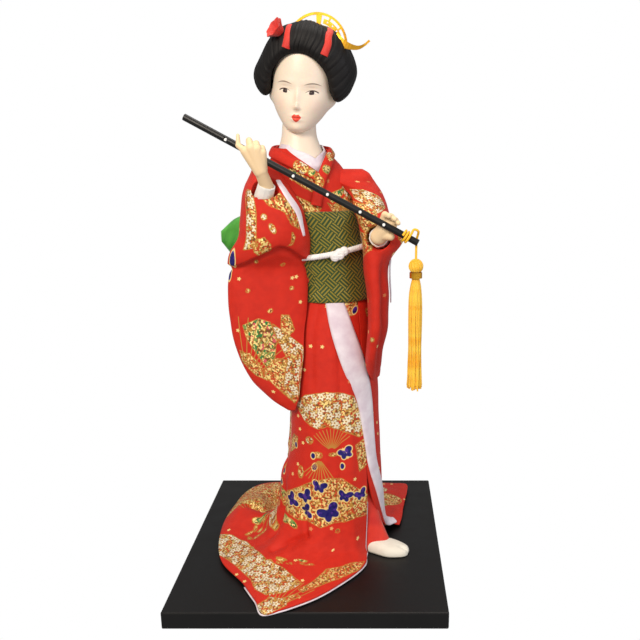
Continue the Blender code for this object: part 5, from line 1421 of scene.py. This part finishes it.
# The sleeve is its rows of ovals plus waves and folds along the normal, dented at its mouth; the cuff
# is a double ring along the forearm, radius near to far; the lining is a band down the mouth's edge
def makeSleeve(side, v):
    rows = np.array(v["rows"])
    z = np.linspace(rows[0, 0], rows[-1, 0], 180)[:, None]
    angle = np.linspace(0, 360, 180, endpoint=False)[None]
    points = sleevePoint(rows, angle, z)
    flat = clothMap(points, True, int(180 * v["front"]))
    u, w = flat[:, :-1, 0], flat[:, :-1, 1]
    push = 0.35 * ripple(u, w, 24, 13 if side == "right" else 17) + 0.18 * ripple(u * 2, w, 20, 23)
    if side == "right":
        fold = 186 + 3.0 * np.cos((u - 4) / 7.0) - 0.25 * np.abs(u - 2)
        push = push + 1.7 * ease((z - fold) / 1.6) * ease((226 - z) / 8) - 0.9 * hill(z, fold - 1.2, 1.6)
    else:
        push = push - 1.4 * hill(u, 6.0, 2.2) * ease((190 - z) / 20)
        push = push + 1.0 * hill(u, 12.0, 4.0) * ease((185 - z) / 15)
    ends = ease((z - rows[0, 0]) / 6) * ease((rows[-1, 0] - z) / 4)
    points = points + gridNormals(points, True) * (push * ends)[..., None]
    if side == "left":
        corner, start = np.array((51.5, -20.5, 192.4)), np.array((44.0, -18.0, 191.5))
        pull = hill(np.linalg.norm(points - start, axis=-1), 0, 8.5)[..., None]
        points = points + (corner - start) * pull
    points = pushOut(points, 3.05 - 4.4 * ease((points[..., 2] - 211) / 8))
    points = dent(points, v["wrist"], v["elbow"], v["mouth"])
    marks = patternMarks(sleeveMotifs[side], flat[:, :-1])
    name = f"kimonoSleeve_{side}"
    made = surface(name, f"sleeve_{side}", "brocade", points, caps=True, flat=flat, marks=marks)

    wrist, elbow = np.array(v["wrist"]), np.array(v["elbow"])
    near, far, lip = v["cuff"]
    start, end = wrist + (elbow - wrist) * lip, wrist + (elbow - wrist) * 0.4
    share = np.concatenate((np.linspace(1, 0, 22), np.linspace(0, 1, 22)))
    radius = near + (far - near) * share
    line = start + (end - start) * share[:, None]
    aim = Vector((end - start).tolist()).to_track_quat("Z", "Y").to_matrix()
    turn, c, s = roundTurns(72)
    circle = joined(c, s, 0.0) @ np.array(aim).T
    wall = np.where(np.arange(44) < 22, 0.8, 0.0)
    wave = 0.18 * np.sin(5 * turn + 1) + 0.1 * np.sin(11 * turn)
    reach = (radius - wall)[:, None] - np.abs(wave)
    points = line[:, None] + circle[None] * reach[..., None]
    surface(f"cottonCuff_{side}", f"cuff_{side}", "cotton", points)

    grid = bandGrid(lambda a, b: sleevePoint(rows, a, b), (0.5, 0.3), v["edge"], gap + 0.9, 0.7, 60, 8)
    surface(f"sleeveLining_{side}", f"sleeve_lining_{side}", "lining", grid, caps=True)


sleeveMotifs = {
    "right": {
        "leafy": [
            (
                "area",
                [(-14.0, 51.5), (-5.1, 55.1), (1.1, 52.9), (3.5, 42.9)]
                + [(1.0, 32.9), (-4.8, 27.2), (-9.3, 36.5), (-12.8, 44.4)],
            ),
        ],
        "cream": [
            (
                "area",
                [(1.1, 52.9), (10.3, 45.1), (20.0, 35.8), (18.2, 22.8), (11.9, 9.3)]
                + [(2.8, 5.0), (2.0, 17.0), (7.3, 31.5), (3.5, 42.9)],
            ),
            ("area", [(-14.0, 125.6), (-8.1, 124.0), (-9.3, 96.0), (-14.7, 94.0)]),
            ("spot", -5.4, 111.6, 1.5, 1.6, 0.0),
            ("spot", -1.6, 106.0, 1.5, 2.9, 25.0),
        ],
        "golden": [
            ("area", [(-5.8, 27.2), (1.0, 32.9), (7.3, 31.5), (2.0, 17.0), (3.8, 4.0), (-1.7, 14.5), (-6.5, 22.8)]),
            ("area", [(-17.7, 37.5), (-11.1, 34.3), (-7.1, 28.6), (-5.4, 19.4), (-11.9, 23.0), (-17.6, 30.5)]),
            ("area", [(6.7, 56.8), (11.2, 56.4), (13.5, 47.9), (9.3, 44.1), (6.0, 48.4)]),
            ("area", [(-9.3, 100.9), (-5.6, 102.0), (-2.2, 98.6), (-0.6, 93.6), (-5.5, 91.0), (-9.6, 94.2)]),
            ("area", [(7.6, 104.4), (9.6, 101.6), (8.8, 97.6), (5.6, 96.4), (7.6, 98.6), (7.4, 101.4)]),
            (
                "area",
                [(-7.8, 124.7), (3.3, 123.6), (10.7, 113.8), (12.1, 104.6)]
                + [(7.3, 107.5), (4.3, 113.5), (-2.5, 116.8)],
            ),
            ("spot", -6.9, 86.3, 1.1, 1.1, 0.0),
            ("spot", 7.0, 83.8, 1.4, 1.0, 30.0),
            ("spot", -10.3, 70.0, 1.2, 1.2, 0.0),
            ("spot", 12.5, 70.7, 1.3, 1.1, 0.0),
            ("spot", 1.2, 58.9, 1.6, 1.2, 40.0),
        ],
        "navy": [("spot", -19.0, 88.0, 1.6, 5.0, 10.0), ("spot", -21.0, 78.0, 1.4, 3.0, 0.0)],
        "ribs": [("fan", -16.0, 22.0, 8.0, 34.0, 58.0, 34.0)],
    },
    "left": {
        "cream": [
            (
                "area",
                [(3.2, 122.8), (9.7, 121.9), (14.2, 113.3), (16.4, 104.6)]
                + [(5.8, 101.0), (1.8, 107.1), (-2.5, 113.3)],
            ),
        ],
        "golden": [
            ("area", [(-4.9, 111.7), (1.8, 108.1), (5.8, 101.0), (2.8, 90.9), (-3.5, 88.5), (-9.2, 95.4)]),
            ("area", [(-11.6, 89.7), (-2.9, 88.2), (-1.1, 79.5), (-12.1, 73.3), (-15.8, 80.1)]),
            ("area", [(9.0, 100.0), (20.0, 98.0), (26.0, 84.0), (20.0, 74.0), (10.0, 84.0)]),
            ("spot", -8.1, 51.9, 1.2, 1.2, 0.0),
            ("spot", -12.8, 36.8, 1.3, 1.1, 0.0),
            ("spot", -1.3, 31.4, 1.4, 1.4, 0.0),
        ],
        "navy": [("spot", -11.0, 84.0, 1.6, 2.6, 0.0)],
    },
}
for side, values in sleeveValues.items():
    makeSleeve(side, values)
print("stage: sleeves")


# Hands: tapered rods and balls melted into one skin

handValues = {
    "right": (
        ((-20.7, -24.1, 213.3), (-18.6, -26.5, 219.0), 3.6, 3.5),
        ((-18.6, -26.5, 219.0), (-20.2, -31.0, 225.5), 3.5, 3.1),
        ((-21.0, -32.0, 226.0), (-27.0, -34.6, 236.0), 2.7, 2.4),
        ((-20.4, -32.2, 226.5), (-24.2, -35.0, 237.2), 2.7, 2.5),
        ((-19.6, -31.8, 226.5), (-21.2, -34.6, 236.8), 2.5, 2.3),
        ((-19.2, -31.2, 227.0), (-18.8, -33.8, 235.2), 2.2, 2.0),
        ((-24.2, -35.0, 237.2), (-25.4, -32.0, 241.0), 1.9, 1.6),
        ((-25.4, -32.0, 241.0), (-24.8, -27.6, 238.8), 1.5, 1.2),
        ((-21.2, -34.6, 236.8), (-22.0, -31.6, 239.6), 1.9, 1.6),
        ((-22.0, -31.6, 239.6), (-21.5, -27.4, 237.2), 1.5, 1.2),
        ((-18.8, -33.8, 235.2), (-19.2, -31.0, 237.6), 1.7, 1.4),
        ((-19.2, -31.0, 237.6), (-18.8, -27.4, 235.4), 1.3, 1.1),
        ((-27.0, -34.6, 236.0), (-30.4, -34.0, 238.6), 1.8, 1.4),
        ((-30.4, -34.0, 238.6), (-30.6, -32.4, 243.4), 1.3, 0.9),
        ((-22.0, -30.5, 226.5), (-25.4, -26.4, 230.2), 2.0, 1.5),
        ((-25.4, -26.4, 230.2), (-29.0, -26.0, 234.4), 1.4, 1.1),
    ),
    "left": (
        ((37.5, -21.3, 192.8), (37.2, -26.5, 193.8), 4.1, 4.1),
        ((37.2, -26.5, 193.8), (40.2, -28.6, 197.5), 4.1, 4.3),
        ((40.2, -28.6, 197.5), (43.0, -29.6, 200.2), 4.2, 3.6),
        ((39.6, -29.4, 200.5), (40.4, -31.2, 205.2), 2.6, 1.9),
        ((40.4, -31.2, 205.2), (42.4, -34.6, 205.0), 1.7, 1.4),
        ((42.2, -29.6, 200.5), (43.4, -31.4, 204.2), 2.5, 1.9),
        ((43.4, -31.4, 204.2), (45.2, -34.8, 203.4), 1.7, 1.3),
        ((44.0, -30.0, 199.0), (45.6, -32.0, 202.4), 2.3, 1.8),
        ((45.6, -32.0, 202.4), (47.0, -34.8, 201.4), 1.5, 1.2),
        ((40.6, -29.5, 195.0), (43.4, -31.6, 194.4), 2.8, 2.0),
    ),
}


# Each rod is rings from one end's ball to the other's, radius r cos a at r sin a beyond the end
def makeHand(side, strokes):
    verts, faces, start, sides = [], [], 0, 20
    for first, last, r1, r2 in strokes:
        first, last = np.array(first), np.array(last)
        run = unit(last - first)
        bend = np.radians(np.linspace(0, 90, 7))[:-1]
        front = [last + run * r2 * math.sin(a) for a in bend]
        back = [first - run * r1 * math.sin(a) for a in bend[::-1]]
        radii = [r1 * math.cos(a) for a in bend[::-1]] + [r2 * math.cos(a) for a in bend]
        rings = tubeRings(np.array(back + front), radii, sides)
        index = np.arange(len(rings) * sides).reshape(-1, sides) + start
        faces += gridFaces(len(rings), sides, start=start)
        faces += [index[0][::-1].tolist(), index[-1].tolist()]
        verts.append(rings.reshape(-1, 3))
        start += len(rings) * sides
    mesh = bpy.data.meshes.new(f"hand_{side}")
    mesh.from_pydata((np.concatenate(verts) * mm).tolist(), [], faces)
    made = addPiece(f"mouldedHand_{side}", f"hand_{side}", "hand", mesh)
    skin = made.modifiers.new("skin", "REMESH")
    skin.mode = "VOXEL"
    skin.voxel_size = 0.32 * mm
    skin.use_smooth_shade = True
    smooth = made.modifiers.new("smooth", "SMOOTH")
    smooth.iterations = 9


for side, strokes in handValues.items():
    makeHand(side, strokes)
print("stage: hands")


# Head, in its own frame turned and tilted on the neck

headValues = {
    "middle": (-2.2, 0.5, 267.0),
    "turn": (-6.0, 5.5, 3.0),
    "shift": (0.5, 1.2),  # the face's middle, right and down of the head's
    "columns": 250,
    "neck": (
        (226.0, -3.5, -1.0, 15.0, 10.0),
        (231.0, -3.8, 0.0, 13.4, 9.8),
        (236.0, -4.4, 1.0, 11.8, 9.4),
        (240.0, -4.6, 1.8, 10.4, 9.1),
        (244.0, -4.8, 2.4, 9.3, 8.8),
        (249.0, -4.8, 3.2, 8.9, 8.5),
        (257.0, -4.2, 4.0, 8.6, 8.2),
    ),
    "line": (
        (-21.4, 1.2, -9.2, -6.8),
        (-20.9, 3.4, -10.9, -5.0),
        (-19.2, 6.4, -12.6, 0.0),
        (-16.0, 9.4, -13.6, 5.0),
        (-11.0, 12.8, -14.0, 9.5),
        (-5.0, 15.3, -14.0, 13.0),
        (1.0, 16.0, -14.0, 16.0),
        (9.0, 15.9, -14.2, 17.0),
        (17.0, 14.0, -12.8, 16.0),
        (23.0, 10.4, -9.0, 12.2),
        (26.8, 4.2, -3.4, 5.6),
    ),
}
tilt = Matrix.Rotation(math.radians(headValues["turn"][0]), 3, "Z")
tilt = tilt @ Matrix.Rotation(math.radians(headValues["turn"][1]), 3, "Y")
headTurn = np.array(tilt @ Matrix.Rotation(math.radians(headValues["turn"][2]), 3, "X"))


# Head frame to world: turn @ p + middle
def toHead(points):
    return np.asarray(points, float) @ headTurn.T + headValues["middle"]


# How far the moulded face stands out, as hills on (x, z)
def faceRelief(x, z):
    side = np.abs(x)
    nose = 2.0 * hill(x, 0, 1.2) * hill(z, -7.4, 1.5) + 1.1 * hill(x, 0, 1.2) * hill(z, -3.4, 4.2)
    wings = 0.5 * hill(side, 1.4, 0.7) * hill(z, -7.9, 0.9)
    sockets = -1.0 * hill(side, 6.6, 3.6) * hill(z, 0.6, 2.4)
    balls = 0.55 * hill(side, 6.8, 2.4) * hill(z, -0.1, 1.3)
    lids = 0.26 * hill(side, 6.8, 3.0) * hill(z, 1.5, 0.5)
    brow = 0.4 * hill(side, 5.8, 4.6) * hill(z, 4.2, 2.2)
    lips = 0.75 * hill(x, 0, 2.4) * (hill(z, -11.9, 0.8) + 1.05 * hill(z, -13.7, 0.9))
    lips = lips + 0.4 * hill(x, 0, 3.2) * hill(z, -12.8, 2.4)
    parting = -0.3 * hill(x, 0, 2.2) * hill(z, -12.75, 0.3)
    philtrum = -0.25 * hill(x, 0, 0.6) * hill(z, -10.2, 0.9)
    chin = 0.9 * hill(x, 0, 3.4) * hill(z, -18.0, 2.2)
    cheeks = 0.7 * hill(side, 7.6, 4.0) * hill(z, -7.0, 4.4)
    return nose + wings + sockets + balls + lids + brow + lips + parting + philtrum + chin + cheeks


# Painted features as distances in mm on (x, z): positive inside; the eye glint among them is a painted highlight
def facePaint(x, z):
    side = np.abs(x)
    eyeX, eyeZ = side - 6.8, z + 0.1 - 0.1 * (side - 6.8)
    lid = 1.15 * np.clip(1 - (eyeX / 3.2) ** 2, 0, 1)
    white = np.minimum(lid - eyeZ, eyeZ + lid * 0.7) * 0.8 - 0.06
    iris = np.minimum(1.25 - np.hypot(eyeX, eyeZ), white + 0.12)
    lashLine = 0.26 - np.abs(eyeZ - lid - 0.02) + 0.04 * eyeX
    lash = np.minimum(lashLine, 3.2 - np.abs(eyeX - 0.1))
    lower = np.minimum(0.06 - np.abs(eyeZ + lid * 0.7), 2.2 - np.abs(eyeX))
    browZ = 3.4 + 1.0 * np.sin((side - 3.4) / 7.6 * math.pi * 0.85)
    brow = 0.34 * np.sin(np.clip((side - 2.9) / 8.6, 0, 1) * math.pi) ** 0.6 - np.abs(z - browZ)
    # Painted highlight: a small white dot in each eye, up and toward the nose from the eye's middle
    paintedGlint = 0.16 - np.hypot(eyeX + 0.4, eyeZ - 0.35)
    lipX = np.clip(side / 2.45, 0, 1)
    upper = -11.35 + 0.5 * hill(side, 1.1, 0.6) - 0.75 * lipX**2
    lowerLip = -14.8 + 2.3 * lipX**1.7
    lip = np.minimum(upper - z, z - lowerLip) * 0.9
    lip = np.where(side < 2.45, lip, -0.5)
    mouth = np.minimum(0.08 - np.abs(z + 12.7 - 0.15 * hill(x, 0, 1.2)), 1.6 - side)
    blush = hill(side, 8.6, 3.6) * hill(z, -6.0, 3.6) + 0.6 * hill(side, 6.8, 3.4) * hill(z, 2.0, 1.2)
    nostril = 0.32 - np.hypot((side - 1.15) * 0.8, (z + 8.9) * 1.6)
    paint = {"white": white, "iris": iris, "brow": brow, "paintedGlint": paintedGlint, "lip": lip, "blush": blush}
    paint["lash"] = np.maximum(np.maximum(lash, lower), np.maximum(mouth * 0.8, nostril - 0.16))
    return paint


# One oval of the head, (half cos a, middle + depth sin a), less the face's relief in front and
# plus a swelling at the ears
def headRing(z, columns):
    half, front, back = np.moveaxis(curveAt(headValues["line"], z), -1, 0)
    a = np.radians(np.linspace(0, 360, columns, endpoint=False) - 90)
    x = half * np.cos(a)
    y = (front + back) / 2 + (back - front) / 2 * np.sin(a)
    right, down = headValues["shift"]
    relief = faceRelief(x - right, z + down)
    y = y - np.where(np.sin(a) < 0, relief * ease(-np.sin(a) * 1.6), 0)
    x = x + np.sign(x) * 2.4 * hill(z, -4.6, 3.6) * hill(y, 1.5, 4.0)
    return joined(x, y, z)


# The head is an egg of rings; the neck is a column that runs up inside it
def makeHead(v):
    dense = headRing(np.linspace(-21.4, 26.5, 230)[:, None], v["columns"])
    front = dense[..., 1] < 0
    right, down = v["shift"]
    marks = {}
    for key, values in facePaint(dense[..., 0] - right, dense[..., 2] + down).items():
        marks[key] = np.where(front, values, 0.0 if key == "blush" else -1.0)
    surface("dollHead", "head", "face", toHead(dense), caps=True, marks=marks)
    z = np.linspace(226, 257, 50)
    x, y, half, deep = [column[:, None] for column in curveAt(v["neck"], z).T]
    _, c, s = roundTurns(96)
    marks = {key: (0.0 if key == "blush" else -1.0) for key in marks}
    surface("dollNeck", "", "face", joined(x + half * c, y + deep * s, z[:, None]), caps=True, marks=marks)


makeHead(headValues)
print("stage: head")


# Wig: comb lines from hairline to crown on the -X side, mirrored to the other

wigValues = {
    "shares": (0.0, 0.09, 0.17, 0.25, 0.36, 0.44, 0.5),  # of the way round, one for each comb line
    "lines": (
        ((0.0, -13.0, 17.2), (0.0, -15.2, 21.0), (0.0, -14.0, 27.0), (0.0, -8.5, 31.6), (0.0, -1.5, 32.6)),
        ((-7.6, -12.4, 15.0), (-8.8, -14.2, 18.4), (-10.2, -12.4, 24.4), (-9.4, -8.0, 29.2), (-6.0, -1.5, 31.0)),
        ((-13.6, -9.8, 8.6), (-16.2, -11.2, 11.0), (-19.2, -9.0, 17.8), (-17.0, -4.5, 25.2), (-10.0, 1.5, 30.2)),
        ((-15.9, -5.2, 0.2), (-19.2, -6.4, -2.6), (-24.2, -4.0, 3.4), (-24.8, 0.0, 12.6), (-17.2, 4.5, 24.8)),
        ((-15.2, 4.0, 1.5), (-17.8, 5.0, -2.0), (-22.4, 8.5, 2.6), (-22.4, 10.0, 12.0), (-14.5, 11.0, 23.6)),
        ((-9.2, 13.2, 2.0), (-11.0, 14.6, -0.5), (-14.6, 18.0, 3.5), (-15.0, 19.3, 11.0), (-10.0, 16.5, 21.4)),
        ((0.0, 15.6, 1.0), (0.0, 17.4, -1.5), (0.0, 22.2, 3.0), (0.0, 23.8, 10.5), (0.0, 18.5, 20.5)),
    ),
    "gather": (0.0, 8.0, 30.2),
    "columns": 280,
    "rows": 90,
    "bun": ((-12.5, 2.0, 2.0), (-10.0, 4.6, 5.0), (-5.0, 6.4, 7.2), (0.0, 6.0, 6.6))
    + ((5.0, 6.4, 7.2), (10.0, 4.6, 5.0), (12.5, 2.0, 2.0)),  # x, half height, half depth
    "ribbons": {
        "left": ((0.068, 0.17, 3.9), (0.069, 0.3, 3.6), (0.07, 0.44, 3.4), (0.073, 0.56, 3.2)),
        "right": ((0.882, 0.22, 3.9), (0.892, 0.35, 3.7), (0.896, 0.49, 3.5), (0.879, 0.66, 3.2)),
    },
}
half = [(u, np.array(line)) for u, line in zip(wigValues["shares"], wigValues["lines"])]
other =[(1 - u, line * (-1, 1, 1)) for u, line in reversed(half[1:-1])]
around = half + other
around = [(u - 1, line) for u, line in around[-2:]] + around + [(u + 1, line) for u, line in around[:3]]
combTables = [np.array([(u, *line[k]) for u, line in around]) for k in range(5)]


# Six knots per comb line (the last near the gathering point), on a Catmull-Rom curve by share
def wigPoint(u, share):
    u, share = np.broadcast_arrays(np.asarray(u, float) % 1.0, share)
    knots = [curveAt(table, u) for table in combTables]
    knots.append(wigValues["gather"] + unit(knots[-1] - wigValues["gather"]) * 1.5)
    local = alongKnots(knots, share * 5)
    local[..., 0] += 1.9 * ease((local[..., 2] - 3) / 12) * ease((share - 0.1) / 0.3)
    return toHead(local)


# The wig's grid plus three sines of strands along its normal; the bun's ovals; bands for the ribbons
def makeWig(v):
    u = np.linspace(0, 1, v["columns"], endpoint=False)[None]
    share = np.linspace(0, 1, v["rows"])[:, None]
    points = wigPoint(u, share)
    turns = u * 2 * math.pi
    lock = np.sin(turns * 46 + 2.0 * share) + 0.7 * np.sin(turns * 83 + 1.3 - 3.0 * share)
    lock = lock + 0.5 * np.sin(turns * 131 + 4 * share)
    push = 0.11 * lock * ease(share / 0.08) * ease((1.02 - share) / 0.3)
    points = points + gridNormals(points, True) * push[..., None]
    across = np.concatenate((u[0], [1.0])) * 150.0
    flat = joined(across[None], share * 60.0)
    surface("combedWig", "wig", "hair", points, flat=flat, thick=0.7)

    x = np.linspace(v["bun"][0][0], v["bun"][-1][0], 60)[:, None]
    high, deep = np.moveaxis(curveAt(v["bun"], x), -1, 0)
    a, c, s = roundTurns(160)
    ridge = 1 + 0.012 * np.sin(a * 30) + 0.008 * np.sin(a * 53 + x)
    bun = toHead(joined(x, 15 + deep * ridge * c, 27 + high * ridge * s))
    flat = joined(np.linspace(0, 45, 161)[None], x)
    surface("hairTopknot", "topknot", "hair", bun, caps=True, flat=flat)
    for side, path in v["ribbons"].items():
        grid = bandGrid(wigPoint, (0.002, -0.01), path, gap + 0.1, 0.5, 50, 10, 0.35)
        surface(f"hairRibbon_{side}", f"hair_ribbon_{side}", "ribbon", grid, caps=True)


# Pleated cone: radius (1 + pleat cos 7a + 0.02 cos 21a), from its foot on the hair out to its mouth
# and back inside
def makeFlower():
    foot, mouth = Vector((-8.6, -8.6, 24.6)), Vector((-13.6, -13.0, 28.0))
    aim = np.array((mouth - foot).to_track_quat("Z", "Y").to_matrix())
    sections = ((0.0, 0.0, 1.2, 0.0), (1.0, 0.3, 2.2, 0.02), (2.0, 0.65, 3.4, 0.04), (3.0, 0.95, 5.0, 0.07))
    sections += ((4.0, 1.0, 4.9, 0.07), (5.0, 0.8, 2.6, 0.05), (6.0, 0.5, 0.5, 0.0))
    share, radius, pleat = curveAt(sections, np.linspace(0, 6, 56)).T
    a, c, s = roundTurns(126)
    reach = radius[:, None] * (1 + pleat[:, None] * np.cos(7 * a) + 0.02 * np.cos(21 * a))
    flat = joined(reach * c, reach * s, 0.0) @ aim.T
    foot, mouth = np.array(foot), np.array(mouth)
    points = toHead(foot + (mouth - foot) * share[:, None, None] + flat)
    surface("hairFlower", "hair_flower", "ribbon", points, caps=True)


makeWig(wigValues)
makeFlower()
print("stage: hair")
